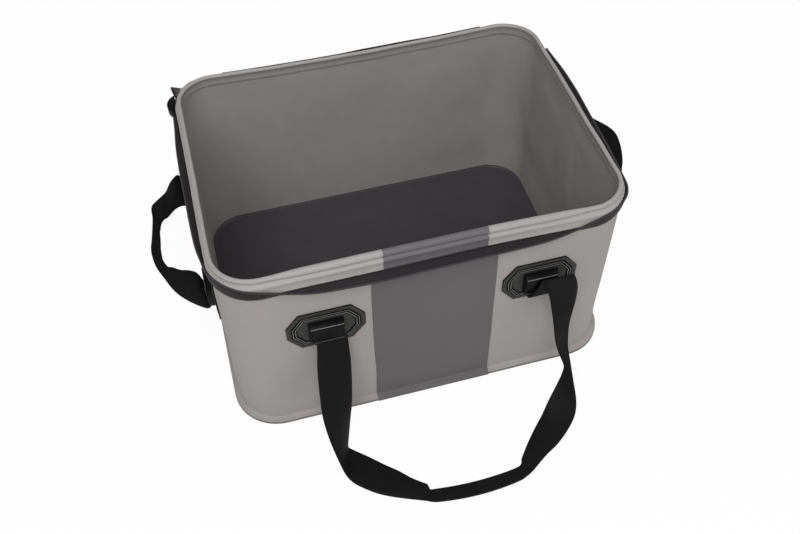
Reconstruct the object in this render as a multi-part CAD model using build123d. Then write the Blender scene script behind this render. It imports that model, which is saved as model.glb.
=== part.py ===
"""Welded fishing bag: an open-topped box of welded sheet with webbing handles and a zipped lid.

Frame: +Z up, the front wall faces -Y, the origin is the centre of the base's resting face.
Lengths are in millimetres. The lid is thrown back behind the bag and leans on the ground.
Wall profiles are drawn as (out, up): out from the wall's outer face, up from the ground.
"""
from build123d import *
import os
from math import asin, atan2, cos, degrees, hypot, radians, sin

# Box
bag_width = 400.0            # outer faces of the end walls
bag_depth = 300.0            # outer faces of the front and rear walls
rim_height = 230.0           # top of the rim bead above the ground
corner_radius = 42.0         # outer radius of the four upright corners
wall_thickness = 2.2
base_thickness = 3.0
flange_width = 6.0           # welded lip round the foot of the walls
flange_thickness = 1.5
board_thickness = 2.0        # stiffening board under the floor liner
liner_thickness = 1.5
floor_clearance = 0.3        # board and liner to the walls

# Rolled rim hem
bead_diameter = 7.0
bead_overhang = 1.0          # the bead stands this far outside the wall
rod_diameter = 4.0           # round rod inside the bead
rod_clearance = 0.05
rod_to_wall = 0.6            # rod to the wall's top edge
hem_thickness = 1.2
hem_outer_drop = 21.0        # hem's lower edge below the rim, outside
hem_inner_drop = 14.0        # and inside
hem_centre_width = 103.0     # dark stretch in the middle of the front

# Front centre panel
front_shift = 2.5            # the front's middle pieces sit this far right of the centre line
panel_width = 124.0
panel_thickness = 0.8

# Zip
tape_width_flat = 5.7        # welded foot of the body tape on the wall
tape_thickness = 0.8
tape_reach = 10.2            # body tape's free edge, out from the wall
tape_droop = 3.3             # body tape's free edge below the hem's edge
coil_size = 2.4
coil_round = 0.6
tape_end_margin = 3.0        # the tape stops this far before the rear corners
cap_radius = 16.0            # rounded end cap at the left rear corner
cap_reach = 10.5
cap_height = 10.0
stop_length = 9.0            # small end stop at the right rear corner
stop_reach = 6.0

# Handle patches, moulded plates with a bridge for the webbing
patch_length = 77.0
patch_height = 50.0
patch_cut_along = 13.0       # corner cuts of the octagon
patch_cut_up = 17.0
patch_cut_shrink = 0.4       # an inset outline's cuts lose this share of the inset
plate_thickness = 2.0
ridge_rise = 1.2
ridge_inset = 5.0
ridge_width = 3.0
inner_ridge_rise = 0.8
inner_ridge_inset = 10.5
inner_ridge_width = 2.0
patch_centre_height = 145.0
front_patch_spacing = 215.0
side_patch_spacing = 140.0
bridge_width = 36.0
bridge_height = 27.0
bridge_lift = 1.5            # bridge's centre above the plate's centre
bridge_reach = 9.0           # bridge's face, out from the wall
bridge_side_wall = 2.6
bridge_roof = 1.4
bridge_top_wall = 3.0
bridge_round = 1.2
bar_diameter = 2.8
bar_drop = 10.0              # bar below the bridge's top

# Webbing
webbing_width = 30.0
webbing_thickness = 1.8
fold_thickness = 1.2         # webbing pressed flat at its fold line
fold_gap = 0.25              # webbing to the fold roll
fold_lean = 22.3             # carry webbing's first stretch, in degrees from the vertical
end_ply = 1.25               # each ply of the sewn loop round the bar
bar_play = 0.1
pivot_reach = 9.2            # fold line of the webbing, out from the wall
pivot_drop = 3.0             # fold line below the bridge's mouth
grip_width = 15.0            # webbing folded in half
grip_thickness = 3.6
ground_gap = 0.15

# Lid
lid_edge_out = -4.0          # lid's edge, out from the walls' outer face
lid_rest_gap = 1.3           # closed lid above the rim
hinge_reach = 4.5            # hinge line, out from the rear wall
hinge_drop = 0.5             # hinge line below the rim's top
hinge_strip_thickness = 1.2
hinge_strip_flat = 3.0       # its level stretch next to the hinge line
hinge_half_length = 147.0    # hinge tapes, from their middle to their ends
lid_liner_thickness = 1.0
lid_core_thickness = 2.0
lid_sheet_thickness = 1.5
lid_panel_thickness = 0.7
piping_radius = 2.6
piping_offset = 1.2          # piping's centre past the lid's edge
lid_tape_root = 72.6         # where its tape leaves the piping, in degrees below level
lid_coil_reach = 9.0         # lid's coil, out from the wall line
lid_coil_drop = 3.0          # lid's coil below the hinge line when shut
lid_ground_gap = 0.2         # open lid's coil above the ground

# Slider and pull
slider_length = 12.0
slider_plate = 1.2
slider_flange = 1.0
slider_play = 1.2            # coil to the flanges
slider_face_play = 0.5       # coil to the face plate
slider_grip = 2.6            # how far the flanges reach behind the coil's face
slider_start = 12.0          # slider's parked place from the straight side's front end
crown_length = 7.0
crown_width = 2.0
crown_height = 2.7
crown_wall = 0.7
pull_pin = 1.2
pull_arm_gap = 0.3
pull_arm_length = 8.0
pull_tab_length = 26.0
pull_tab_width = 9.0
pull_tab_thickness = 1.6

# Places worked out from the sizes
half_width = bag_width / 2
half_depth = bag_depth / 2
side_flat = half_depth - corner_radius
front_flat = half_width - corner_radius
bead_radius = bead_diameter / 2
bead_out = bead_overhang - bead_radius
bead_up = rim_height - bead_radius
wall_top = bead_up - rod_diameter / 2 - rod_to_wall
hem_foot = rim_height - hem_outer_drop
floor_top = base_thickness + board_thickness + liner_thickness
tape_end = side_flat - tape_end_margin
coil_up = hem_foot - tape_droop - tape_thickness / 2
coil_out = tape_reach + coil_size / 2
bridge_mouth = patch_centre_height + bridge_lift - bridge_height / 2
pivot_up = bridge_mouth - pivot_drop
bar_up = bridge_mouth + bridge_height - bar_drop
bridge_ceiling = bridge_reach - bridge_roof
bar_out = (plate_thickness + bridge_ceiling) / 2
hinge_y = half_depth + hinge_reach
hinge_z = rim_height - hinge_drop
lid_setback = hinge_reach - lid_edge_out
lid_under = lid_rest_gap + hinge_drop
lid_face = lid_under + lid_liner_thickness + lid_core_thickness + lid_sheet_thickness
lid_middle = (lid_under + lid_face) / 2
lid_reach = hinge_y + half_depth + lid_coil_reach + coil_size / 2
lid_coil_top = coil_size / 2 - lid_coil_drop
lid_lean = degrees(
    asin((hinge_z - lid_ground_gap) / hypot(lid_reach, lid_coil_top))
    - atan2(lid_coil_top, lid_reach)
)

parts = {}


def rounded_plate(grow, low, high):
    """Solid plate of the bag's plan, grown by grow, between two heights."""
    plan = RectangleRounded(bag_width + 2 * grow, bag_depth + 2 * grow, corner_radius + grow)
    return Pos(0, 0, low) * extrude(plan, high - low)


def rounded_ring(inner, outer, low, high):
    """Upright ring between two offsets from the wall's outer face."""
    return rounded_plate(outer, low, high) - rounded_plate(inner, low - 1, high + 1)


def block(x0, x1, y0, y1, z0, z1):
    """Box between two corners."""
    return Pos((x0 + x1) / 2, (y0 + y1) / 2, (z0 + z1) / 2) * Box(x1 - x0, y1 - y0, z1 - z0)


def three_side_path(grow, end):
    """Path round the right side, the front and the left side, from y = end to y = end."""
    x, y = half_width + grow, half_depth + grow
    return FilletPolyline((x, end, 0), (x, -y, 0), (-x, -y, 0), (-x, end, 0),
                          radius=corner_radius + grow)


def sweep_three_sides(profile, end):
    """Sweep a profile drawn as (out, up) along three sides of the wall."""
    start = Plane(origin=(half_width, end, 0), x_dir=(1, 0, 0), z_dir=(0, -1, 0))
    return sweep(start * profile, path=three_side_path(0, end))


def polygon(*points):
    """Filled outline through the points."""
    return make_face(Polyline(*points, close=True))


def rectangle(x0, x1, y0, y1):
    """Filled rectangle between two corners."""
    return Pos((x0 + x1) / 2, (y0 + y1) / 2) * Rectangle(x1 - x0, y1 - y0)


def ribbon(sections):
    """Strip of webbing through sections, each (edge, other edge, thickness)."""
    middles = [(Vector(*a) + Vector(*b)) / 2 for a, b, _ in sections]
    wires = []
    for i, (a, b, thickness) in enumerate(sections):
        a, b = Vector(*a), Vector(*b)
        along = middles[min(i + 1, len(middles) - 1)] - middles[max(i - 1, 0)]
        half = along.cross(b - a).normalized() * (thickness / 2)
        wires.append(Wire.make_polygon([a - half, b - half, b + half, a + half], close=True))
    return Solid.make_loft(wires, ruled=True)


# Walls, base and floor
def make_box():
    walls = rounded_ring(-wall_thickness, 0, base_thickness, wall_top)
    foot = rounded_ring(-wall_thickness, flange_width, base_thickness, base_thickness + flange_thickness)
    parts["wall_shell"] = walls + foot
    parts["base_sheet"] = rounded_plate(flange_width, 0, base_thickness)
    inside = -wall_thickness - floor_clearance
    parts["base_board"] = rounded_plate(inside, base_thickness, base_thickness + board_thickness)
    parts["floor_liner"] = rounded_plate(inside, base_thickness + board_thickness, floor_top)
    left = front_shift - panel_width / 2
    parts["front_centre_panel"] = block(
        left, left + panel_width, -half_depth - panel_thickness, -half_depth,
        base_thickness + flange_thickness, hem_foot - tape_width_flat)


# Rim hem: a bead rolled over a rod, with a flat welt down each face of the wall
def hem_profile():
    bead = Pos(bead_out, bead_up) * Circle(bead_radius)
    outer = rectangle(0, hem_thickness, hem_foot, bead_up - bead_overhang)
    inner = rectangle(-wall_thickness - hem_thickness, -wall_thickness,
                      rim_height - hem_inner_drop, bead_up)
    wall = rectangle(-wall_thickness, 0, 0, wall_top)
    rod = Pos(bead_out, bead_up) * Circle(rod_diameter / 2 + rod_clearance)
    return bead + outer + inner - wall - rod


def make_rim():
    half_gap = hem_centre_width / 2
    left, right = front_shift - half_gap, front_shift + half_gap
    x, y = half_width, half_depth
    path = FilletPolyline((left, -y, 0), (-x, -y, 0), (-x, y, 0), (x, y, 0), (x, -y, 0), (right, -y, 0),
                          radius=corner_radius)
    start = Plane(origin=(left, -y, 0), x_dir=(0, -1, 0), z_dir=(-1, 0, 0))
    parts["rim_hem_light"] = sweep(start * hem_profile(), path=path)
    centre = Plane(origin=(right, -y, 0), x_dir=(0, -1, 0), z_dir=(-1, 0, 0))
    parts["rim_hem_centre"] = extrude(centre * hem_profile(), hem_centre_width)
    ring_x, ring_y = half_width + bead_out, half_depth + bead_out
    loop = Wire(Pos(0, 0, bead_up) * RectangleRounded(
        2 * ring_x, 2 * ring_y, corner_radius + bead_out).wire())
    rod_plane = Plane(origin=(0, -ring_y, bead_up), z_dir=(1, 0, 0))
    parts["rim_rod"] = sweep(rod_plane * Circle(rod_diameter / 2), path=loop)


# Zip tape and coil round three sides of the bag
def coil_profile(out, up):
    return Pos(out, up) * RectangleRounded(coil_size, coil_size, coil_round)


def make_body_zip():
    bend = tape_reach / 2
    low = coil_up - tape_thickness / 2
    tape = polygon(
        (0, hem_foot), (bend, low + tape_thickness), (tape_reach, low + tape_thickness),
        (tape_reach, low), (bend - tape_thickness, low), (tape_thickness, hem_foot - 2 * tape_thickness),
        (tape_thickness, hem_foot - tape_width_flat), (0, hem_foot - tape_width_flat))
    parts["zip_tape_body"] = sweep_three_sides(tape, tape_end)
    parts["zip_coil_body"] = sweep_three_sides(coil_profile(coil_out, coil_up), tape_end)
    top = hem_foot + tape_width_flat
    keep_out = rounded_plate(hem_thickness, top - 2 * cap_height, top + cap_height)
    cap_x = half_width + cap_reach - cap_radius
    cap = Pos(-cap_x, tape_end + cap_radius, top - cap_height / 2) * Cylinder(cap_radius, cap_height)
    parts["zip_end_cap_left"] = fillet(cap.faces().sort_by(Axis.Z)[-1].edges(), cap_height / 4) - keep_out
    stop = block(half_width - corner_radius, half_width + stop_reach, tape_end, tape_end + stop_length,
                 top - cap_height, top)
    parts["zip_end_cap_right"] = stop - keep_out


# Handle patches
def octagon(inset):
    """Octagon of the patch, drawn in by inset."""
    along, up = patch_length / 2 - inset, patch_height / 2 - inset
    cut_along = patch_cut_along - inset * patch_cut_shrink
    cut_up = patch_cut_up - inset * patch_cut_shrink
    return polygon((-along, -up + cut_up), (-along + cut_along, -up), (along - cut_along, -up),
                   (along, -up + cut_up), (along, up - cut_up), (along - cut_along, up),
                   (-along + cut_along, up), (-along, up - cut_up))


def octagon_ring(inset, width, low, rise):
    return Pos(0, 0, low) * extrude(octagon(inset) - octagon(inset + width), rise)


def patch_solids():
    """Plate, bridge, bar and sewn strap end, drawn as (along the wall, up, out)."""
    foot = bridge_mouth - patch_centre_height
    lane = block(-bridge_width / 2, bridge_width / 2, -patch_height, foot + bridge_height,
                 plate_thickness, bridge_reach)
    ridges = octagon_ring(ridge_inset, ridge_width, plate_thickness, ridge_rise)
    ridges += octagon_ring(inner_ridge_inset, inner_ridge_width, plate_thickness, inner_ridge_rise)
    plate = extrude(octagon(0), plate_thickness) + (ridges - lane)

    half_mouth = bridge_width / 2 - bridge_side_wall
    shell = block(-bridge_width / 2, bridge_width / 2, foot, foot + bridge_height,
                  plate_thickness, bridge_reach)
    shell = fillet(shell.faces().sort_by(Axis.Z)[-1].edges(), bridge_round)
    cavity = block(-half_mouth, half_mouth, foot - 1, foot + bridge_height - bridge_top_wall,
                   plate_thickness, bridge_ceiling)
    bridge = shell - cavity

    bar_v = bar_up - patch_centre_height
    bar = Pos(0, bar_v, bar_out) * Rot(0, 90, 0) * Cylinder(bar_diameter / 2, 2 * half_mouth)
    inner = bar_diameter / 2 + bar_play
    loop = Circle(inner + end_ply)
    tail = rectangle(-end_ply, end_ply, foot - bar_v, 0)
    fold_v, fold_w = pivot_up - patch_centre_height, pivot_reach
    roll_radius = fold_thickness / 2
    down = Vector(fold_w - bar_out, fold_v - foot).normalized() * roll_radius
    side = Vector(-down.Y, down.X)
    exit_strip = polygon((bar_out - end_ply + side.X, foot + roll_radius),
                         (bar_out - end_ply, foot), (fold_w - side.X, fold_v - side.Y),
                         (fold_w + side.X, fold_v + side.Y), (bar_out + end_ply, foot + roll_radius / 2))
    roll = Pos(fold_w, fold_v) * Circle(roll_radius)
    section = Pos(bar_out, bar_v) * (loop + tail) + exit_strip + roll
    section -= Pos(bar_out, bar_v) * Circle(inner)
    across = Plane(origin=(webbing_width / 2, 0, 0), x_dir=(0, 0, 1), z_dir=(-1, 0, 0))
    strap_end = extrude(across * section, webbing_width)
    return plate, bridge, bar, strap_end


def make_patches():
    """Two patches on each wall, one node for each kind of piece and wall."""
    shift = {"front": front_shift, "rear": front_shift, "left": 0, "right": 0}
    walls = {
        "front": Plane(origin=(0, -half_depth, patch_centre_height), x_dir=(1, 0, 0), z_dir=(0, -1, 0)),
        "rear": Plane(origin=(0, half_depth, patch_centre_height), x_dir=(-1, 0, 0), z_dir=(0, 1, 0)),
        "left": Plane(origin=(-half_width, 0, patch_centre_height), x_dir=(0, -1, 0), z_dir=(-1, 0, 0)),
        "right": Plane(origin=(half_width, 0, patch_centre_height), x_dir=(0, 1, 0), z_dir=(1, 0, 0)),
    }
    names = ("patch_plates", "patch_bridges", "strap_bars", "strap_ends")
    solids = patch_solids()
    for wall, plane in walls.items():
        spacing = front_patch_spacing if wall in ("front", "rear") else side_patch_spacing
        offset = shift[wall] * plane.x_dir.X
        for name, solid in zip(names, solids):
            pair = [plane * Pos(offset + side * spacing / 2, 0, 0) * solid for side in (-1, 1)]
            parts[wall + "_" + name] = Compound(children=pair)


# Webbing of a carry handle, lying on the ground in front of its wall.
# Each row: (along, out, height share) of the outer edge, then of the inner edge. Along is from
# the strap's patch towards the handle's middle, out from the wall, height as a share of the
# fold line's height; a share of 0 lies on the ground.
left_strap = [
    ((-15, 20, 0.80), (15, 18, 0.79)),
    ((-19, 40, 0.55), (11, 34, 0.51)),
    ((-19, 54, 0.385), (8, 43, 0.31)),
    ((-17, 67, 0.25), (4, 49, 0.155)),
    ((-12, 78, 0.12), (1, 52, 0.058)),
    ((-6, 88, 0), (7, 60, 0)),
    ((7, 101, 0), (22, 75, 0)),
    ((29, 117, 0), (44, 94, 0)),
    ((53, 130, 0), (62, 112, 0)),
]
right_strap = [
    ((-24, 15, 0.93), (5, 13, 0.94)),
    ((-35, 22, 0.84), (-6, 17, 0.83)),
    ((-27, 34, 0.69), (-9, 14, 0.60)),
    ((-27, 43, 0.52), (-14, 20, 0.43)),
    ((-28, 51, 0.40), (-20, 27, 0.29)),
    ((-31, 60, 0.17), (-25, 33, 0.155)),
    ((-32, 69, 0.045), (-20, 43, 0.07)),
    ((-28, 78, 0), (-7, 57, 0)),
    ((-21, 88, 0), (1, 67, 0)),
    ((3, 107, 0), (20, 84, 0)),
    ((20, 118, 0), (36, 101, 0)),
    ((34, 127, 0), (46, 113, 0)),
]
grip_start_left = 69.0       # grip's ends, along from each patch
grip_start_right = 46.0
grip_out = 130.0             # grip's middle line, out from the wall at its ends
grip_bow = 4.5               # and how much further at its middle
grip_sections = 5


def fold_section(along_sign, x, wall_to_point):
    """First section of the webbing, just off its fold line."""
    reach = fold_thickness / 2 + fold_gap
    out = pivot_reach + reach * sin(radians(fold_lean))
    up = pivot_up - reach * cos(radians(fold_lean))
    half = webbing_width / 2
    return (wall_to_point(x - along_sign * half, out, up), wall_to_point(x + along_sign * half, out, up),
            fold_thickness)


def carry_handle():
    """Webbing in front of the front wall, from the left patch to the right patch."""
    on_ground = webbing_thickness / 2 + ground_gap
    x_left = front_shift - front_patch_spacing / 2
    x_right = front_shift + front_patch_spacing / 2

    def point(x, out, up):
        return (x, -half_depth - out, max(up, on_ground))

    def rows(strap, x, sign):
        made = [fold_section(sign, x, point)]
        for outer, inner in strap:
            a = point(x + sign * outer[0], outer[1], outer[2] * pivot_up)
            b = point(x + sign * inner[0], inner[1], inner[2] * pivot_up)
            made.append((a, b, webbing_thickness))
        return made

    start, end = x_left + grip_start_left, x_right - grip_start_right
    grip = []
    for i in range(grip_sections + 1):
        share = i / grip_sections
        out = grip_out + grip_bow * 4 * share * (1 - share)
        x = start + (end - start) * share
        up = grip_thickness / 2 + ground_gap
        grip.append((point(x, out + grip_width / 2, up), point(x, out - grip_width / 2, up), grip_thickness))
    return ribbon(rows(left_strap, x_left, 1) + grip + rows(right_strap, x_right, -1)[::-1])


# Webbing of a grab handle, standing out from its end wall.
# Each row: (along from the handle's middle, out, rise above the fold line) of both edges.
side_strap = [
    ((15, 18, 0.8), (-15, 18, 0.8)),
    ((9, 34, 2.5), (-19, 27, 2.5)),
    ((-8, 49, 4.5), (-29, 36, 4.5)),
]
side_grip = [(45, 50.5), (23, 51.5), (0, 52.0)]
side_grip_rise = 5.5
side_grip_slant = 2.7        # slant of its edges along the wall, at the grip's ends


def grab_handle():
    """Webbing beside the left wall, from the rear patch to the front patch."""
    centre = side_patch_spacing / 2

    def point(y, out, up):
        return (-half_width - out, y, up)

    reach = fold_thickness / 2 + fold_gap
    half = webbing_width / 2
    rear = [(point(centre + half, pivot_reach + reach, pivot_up),
             point(centre - half, pivot_reach + reach, pivot_up), fold_thickness)]
    for outer, inner in side_strap:
        rear.append((point(centre + outer[0], outer[1], pivot_up + outer[2]),
                     point(centre + inner[0], inner[1], pivot_up + inner[2]), webbing_thickness))
    for y, out in side_grip:
        lean = side_grip_slant * y / side_grip[0][0]
        up = pivot_up + side_grip_rise
        rear.append((point(y + lean, out + grip_width / 2, up), point(y - lean, out - grip_width / 2, up),
                     grip_thickness))
    front = [((a[0], -a[1], a[2]), (b[0], -b[1], b[2]), t) for a, b, t in rear[:-1]]
    return ribbon(rear + front[::-1])


def make_handles():
    front = carry_handle()
    parts["front_handle_webbing"] = front
    parts["rear_handle_webbing"] = mirror(front, about=Plane.XZ)
    left = grab_handle()
    parts["left_handle_webbing"] = left
    parts["right_handle_webbing"] = mirror(left, about=Plane.YZ)


# Lid, drawn shut and then turned back about its hinge line
def lid_plate(low, high):
    """Plate of the lid's plan between two heights above the hinge line."""
    return rounded_plate(lid_edge_out, hinge_z + low, hinge_z + high)


def lid_solids():
    """The lid's pieces, shut."""
    made = {}
    core_low = lid_under + lid_liner_thickness
    core_high = core_low + lid_core_thickness
    made["lid_liner"] = lid_plate(lid_under, core_low)
    made["lid_foam_core"] = lid_plate(core_low, core_high)
    made["lid_sheet"] = lid_plate(core_high, lid_face)
    left = front_shift - panel_width / 2
    made["lid_centre_panel"] = block(
        left, left + panel_width, -half_depth - lid_edge_out, hinge_y - lid_setback,
        hinge_z + lid_face, hinge_z + lid_face + lid_panel_thickness)

    x, y = half_width, half_depth
    rear_x = hinge_half_length + fold_gap
    path = FilletPolyline((rear_x, y, 0), (x, y, 0), (x, -y, 0), (-x, -y, 0), (-x, y, 0),
                          (-rear_x, y, 0), radius=corner_radius)
    start = Plane(origin=(rear_x, y, 0), x_dir=(0, 1, 0), z_dir=(1, 0, 0))
    centre = Pos(lid_edge_out + piping_offset, hinge_z + lid_middle)
    cord = centre * Circle(piping_radius)
    inside = rectangle(lid_edge_out - 4 * piping_radius, lid_edge_out,
                       hinge_z - lid_face, hinge_z + 3 * lid_face)
    made["lid_piping"] = sweep(start * (cord - inside), path=path)

    coil_at = hinge_z - lid_coil_drop
    root_out = lid_edge_out + piping_offset + piping_radius * cos(radians(lid_tape_root))
    root_up = hinge_z + lid_middle - piping_radius * sin(radians(lid_tape_root))
    edge = lid_coil_reach - coil_size / 2
    tape = polygon((root_out, root_up), (edge, coil_at + tape_thickness / 2),
                   (edge, coil_at - tape_thickness / 2),
                   (root_out - tape_thickness, root_up - tape_thickness / 4))
    made["zip_tape_lid"] = sweep_three_sides(tape - cord, tape_end)
    made["zip_coil_lid"] = sweep_three_sides(coil_profile(lid_coil_reach, coil_at), tape_end)

    reach = hinge_strip_thickness / 2 + fold_gap
    half = hinge_strip_thickness / 2
    flat = hinge_strip_flat
    strip = polygon((-reach, -half), (-flat, -half), (-lid_setback, lid_under),
                    (-lid_setback, lid_under + lid_liner_thickness), (-flat, half), (-reach, half))
    hinge_plane = Plane(origin=(-hinge_half_length, hinge_y, hinge_z), x_dir=(0, 1, 0), z_dir=(1, 0, 0))
    made["lid_hinge_strip"] = extrude(hinge_plane * strip, 2 * hinge_half_length)
    return made


def slider_solids():
    """Slider, its crown and its pull, parked at the front of the shut lid's left side."""
    at_y = slider_start - tape_end
    coil_at = hinge_z - lid_coil_drop
    face = half_width + lid_coil_reach + coil_size / 2 + slider_face_play
    tall = coil_size / 2 + slider_play + slider_flange
    y0, y1 = at_y - slider_length / 2, at_y + slider_length / 2
    body = block(-face - slider_plate, -face + slider_grip, y0, y1, coil_at - tall, coil_at + tall)
    inner = tall - slider_flange
    body -= block(-face, -face + 2 * slider_grip, y0 - 1, y1 + 1, coil_at - inner, coil_at + inner)
    outer_face = -face - slider_plate
    crown = block(outer_face - crown_height, outer_face, at_y - crown_length / 2, at_y + crown_length / 2,
                  coil_at - crown_width / 2, coil_at + crown_width / 2)
    crown -= block(outer_face - crown_height + crown_wall, outer_face,
                   at_y - crown_length / 2 + crown_wall, at_y + crown_length / 2 - crown_wall,
                   coil_at - crown_width, coil_at + crown_width)
    pin_x = outer_face - (crown_height - crown_wall) / 2
    arm = crown_width / 2 + pull_arm_gap
    pin_half = arm + pull_pin
    pull = Pos(pin_x, at_y, coil_at) * Cylinder(pull_pin / 2, 2 * pin_half)
    for side in (-1, 1):
        low, high = sorted((side * arm, side * pin_half))
        pull += block(pin_x - pull_pin / 2, pin_x + pull_pin / 2, at_y - pull_arm_length, at_y,
                      coil_at + low, coil_at + high)
    tab = block(pin_x - pull_tab_thickness / 2, pin_x + pull_tab_thickness / 2,
                at_y - pull_arm_length - pull_tab_length, at_y - pull_arm_length,
                coil_at - pull_tab_width / 2, coil_at + pull_tab_width / 2)
    tab = fillet(tab.edges().filter_by(Axis.X), pull_tab_width / 3)
    return {"zip_slider": body, "zip_slider_crown": crown, "zip_pull": pull + tab}


def make_lid():
    opened = Axis((0, hinge_y, hinge_z), (1, 0, 0))
    shut = lid_solids()
    shut.update(slider_solids())
    for name, solid in shut.items():
        parts[name] = solid.rotate(opened, -(180 + lid_lean))
    foot_y = half_depth + hem_thickness
    roll = hinge_strip_thickness / 2
    strip = polygon((foot_y, hem_foot), (foot_y + roll * 2, hem_foot),
                    (foot_y + roll * 2, hinge_z - hinge_reach * 2), (hinge_y, hinge_z),
                    (hinge_y - roll, hinge_z), (foot_y, hinge_z - hinge_reach * 2))
    section = strip + Pos(hinge_y, hinge_z) * Circle(roll)
    wall_plane = Plane(origin=(-hinge_half_length, 0, 0), x_dir=(0, 1, 0), z_dir=(1, 0, 0))
    parts["hinge_tape"] = extrude(wall_plane * section, 2 * hinge_half_length)


make_box()
make_rim()
make_body_zip()
make_patches()
make_handles()
make_lid()

os.makedirs("parts", exist_ok=True)
for name, solid in parts.items():
    export_step(solid, f"parts/{name}.step")
print("lid leans", round(lid_lean, 4), "degrees; hinge line y", hinge_y, "z", hinge_z)
print("fold line out", pivot_reach, "up", pivot_up, "; lid coil out", lid_coil_reach)
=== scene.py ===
"""Looks of a welded fishing bag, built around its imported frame.

An open box of soft welded sheet stands on the ground with its zipped lid thrown back behind it.
Two webbing carry handles hang from moulded patches in front and behind, and two webbing grab
handles stand out at the ends. Sizes are in millimetres until a piece is finished, and heights
are above the ground. The front wall faces -Y.
"""

import logging
import math
from collections.abc import Callable, Sequence
from dataclasses import dataclass, field
from enum import Enum

import bmesh
import bpy
from mathutils import Euler, Matrix, Vector, noise

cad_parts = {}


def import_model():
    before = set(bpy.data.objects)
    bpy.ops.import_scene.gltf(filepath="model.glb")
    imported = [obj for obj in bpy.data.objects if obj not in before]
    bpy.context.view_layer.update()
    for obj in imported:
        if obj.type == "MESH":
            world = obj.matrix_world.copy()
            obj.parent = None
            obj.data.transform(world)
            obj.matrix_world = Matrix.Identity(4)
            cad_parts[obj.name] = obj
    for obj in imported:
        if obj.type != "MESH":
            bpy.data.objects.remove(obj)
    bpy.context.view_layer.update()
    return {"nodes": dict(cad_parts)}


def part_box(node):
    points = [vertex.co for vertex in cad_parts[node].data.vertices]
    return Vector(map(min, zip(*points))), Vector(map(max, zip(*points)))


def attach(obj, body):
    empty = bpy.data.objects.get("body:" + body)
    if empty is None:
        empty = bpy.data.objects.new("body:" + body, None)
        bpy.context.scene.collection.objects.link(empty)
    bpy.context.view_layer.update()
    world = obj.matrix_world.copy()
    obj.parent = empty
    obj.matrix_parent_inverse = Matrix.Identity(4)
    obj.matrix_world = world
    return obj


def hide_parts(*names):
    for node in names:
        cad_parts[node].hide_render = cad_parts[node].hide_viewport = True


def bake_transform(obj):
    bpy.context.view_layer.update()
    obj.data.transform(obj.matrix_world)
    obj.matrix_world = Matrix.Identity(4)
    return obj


LOG = logging.getLogger("fishing_bag")
MM = 0.001
COIL_PITCH = 1.5
COIL_RADIUS = 1.15
COIL_SIDES = 7
COIL_SWELL = 0.16


class Body(str, Enum):
    """Bodies of the frame that pieces ride on."""

    ROOT = "root"
    LID = "lid"


class Slot(str, Enum):
    """Material slots of the record."""

    LIGHT_SHEET = "light_sheet"
    LIGHT_PIPING = "light_piping"
    DARK_SHEET = "dark_sheet"
    FLOOR_SHEET = "floor_sheet"
    BASE_SHEET = "base_sheet"
    FOAM = "foam"
    ROD = "rod"
    ZIP_TAPE = "zip_tape"
    ZIP_COIL = "zip_coil"
    PATCH_PLASTIC = "patch_plastic"
    WEBBING = "webbing"


class Wall(str, Enum):
    """Walls that carry handle patches."""

    FRONT = "front"
    REAR = "rear"
    LEFT = "left"
    RIGHT = "right"

    @property
    def long(self) -> bool:
        """Whether it is the front or the rear wall."""
        return self in (Wall.FRONT, Wall.REAR)


def smooth_step(low: float, high: float, value: float) -> float:
    """Ease from 0 at low to 1 at high.

    Args:
        low: Value that gives 0.
        high: Value that gives 1.
        value: Value to ease.

    Returns:
        The eased share.
    """
    share = min(max((value - low) / (high - low), 0.0), 1.0)
    return share * share * (3.0 - 2.0 * share)


def blend_values(stations: Sequence[Sequence[float]], at: float) -> list[float]:
    """Values between rows of values.

    Args:
        stations: Rows of numbers in rising order of their first number.
        at: First number to look up.

    Returns:
        The other numbers of the row, evenly between the two nearest stations.
    """
    if at <= stations[0][0]:
        return list(stations[0][1:])
    for before, after in zip(stations, stations[1:]):
        if at <= after[0]:
            share = (at - before[0]) / (after[0] - before[0])
            return [a + (b - a) * share for a, b in zip(before[1:], after[1:])]
    return list(stations[-1][1:])


def catmull(points: Sequence[Vector], at: float) -> Vector:
    """Point on a smooth curve through points.

    Args:
        points: Points that the curve passes through.
        at: Place along the curve, where whole numbers are the points.

    Returns:
        The point on the curve.
    """
    last = len(points) - 1
    start = min(int(at), last - 1)
    t = at - start
    a = points[max(start - 1, 0)]
    b = points[start]
    c = points[start + 1]
    d = points[min(start + 2, last)]
    return 0.5 * (
        2 * b + (c - a) * t + (2 * a - 5 * b + 4 * c - d) * t**2 + (3 * b - a - 3 * c + d) * t**3
    )


def beside(line: Sequence[Vector], at: float, push: float) -> Vector:
    """Point beside a smooth line drawn in a plane.

    Args:
        line: Points (out, up) that the line passes through.
        at: Share of the line's points.
        push: Distance to the line's left.

    Returns:
        The point.
    """
    last = len(line) - 1
    spot = catmull(line, at * last)
    ahead = catmull(line, min(at * last + 0.05, last)) - catmull(line, max(at * last - 0.05, 0.0))
    ahead.normalize()
    return spot + Vector((-ahead.y, ahead.x)) * push


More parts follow.
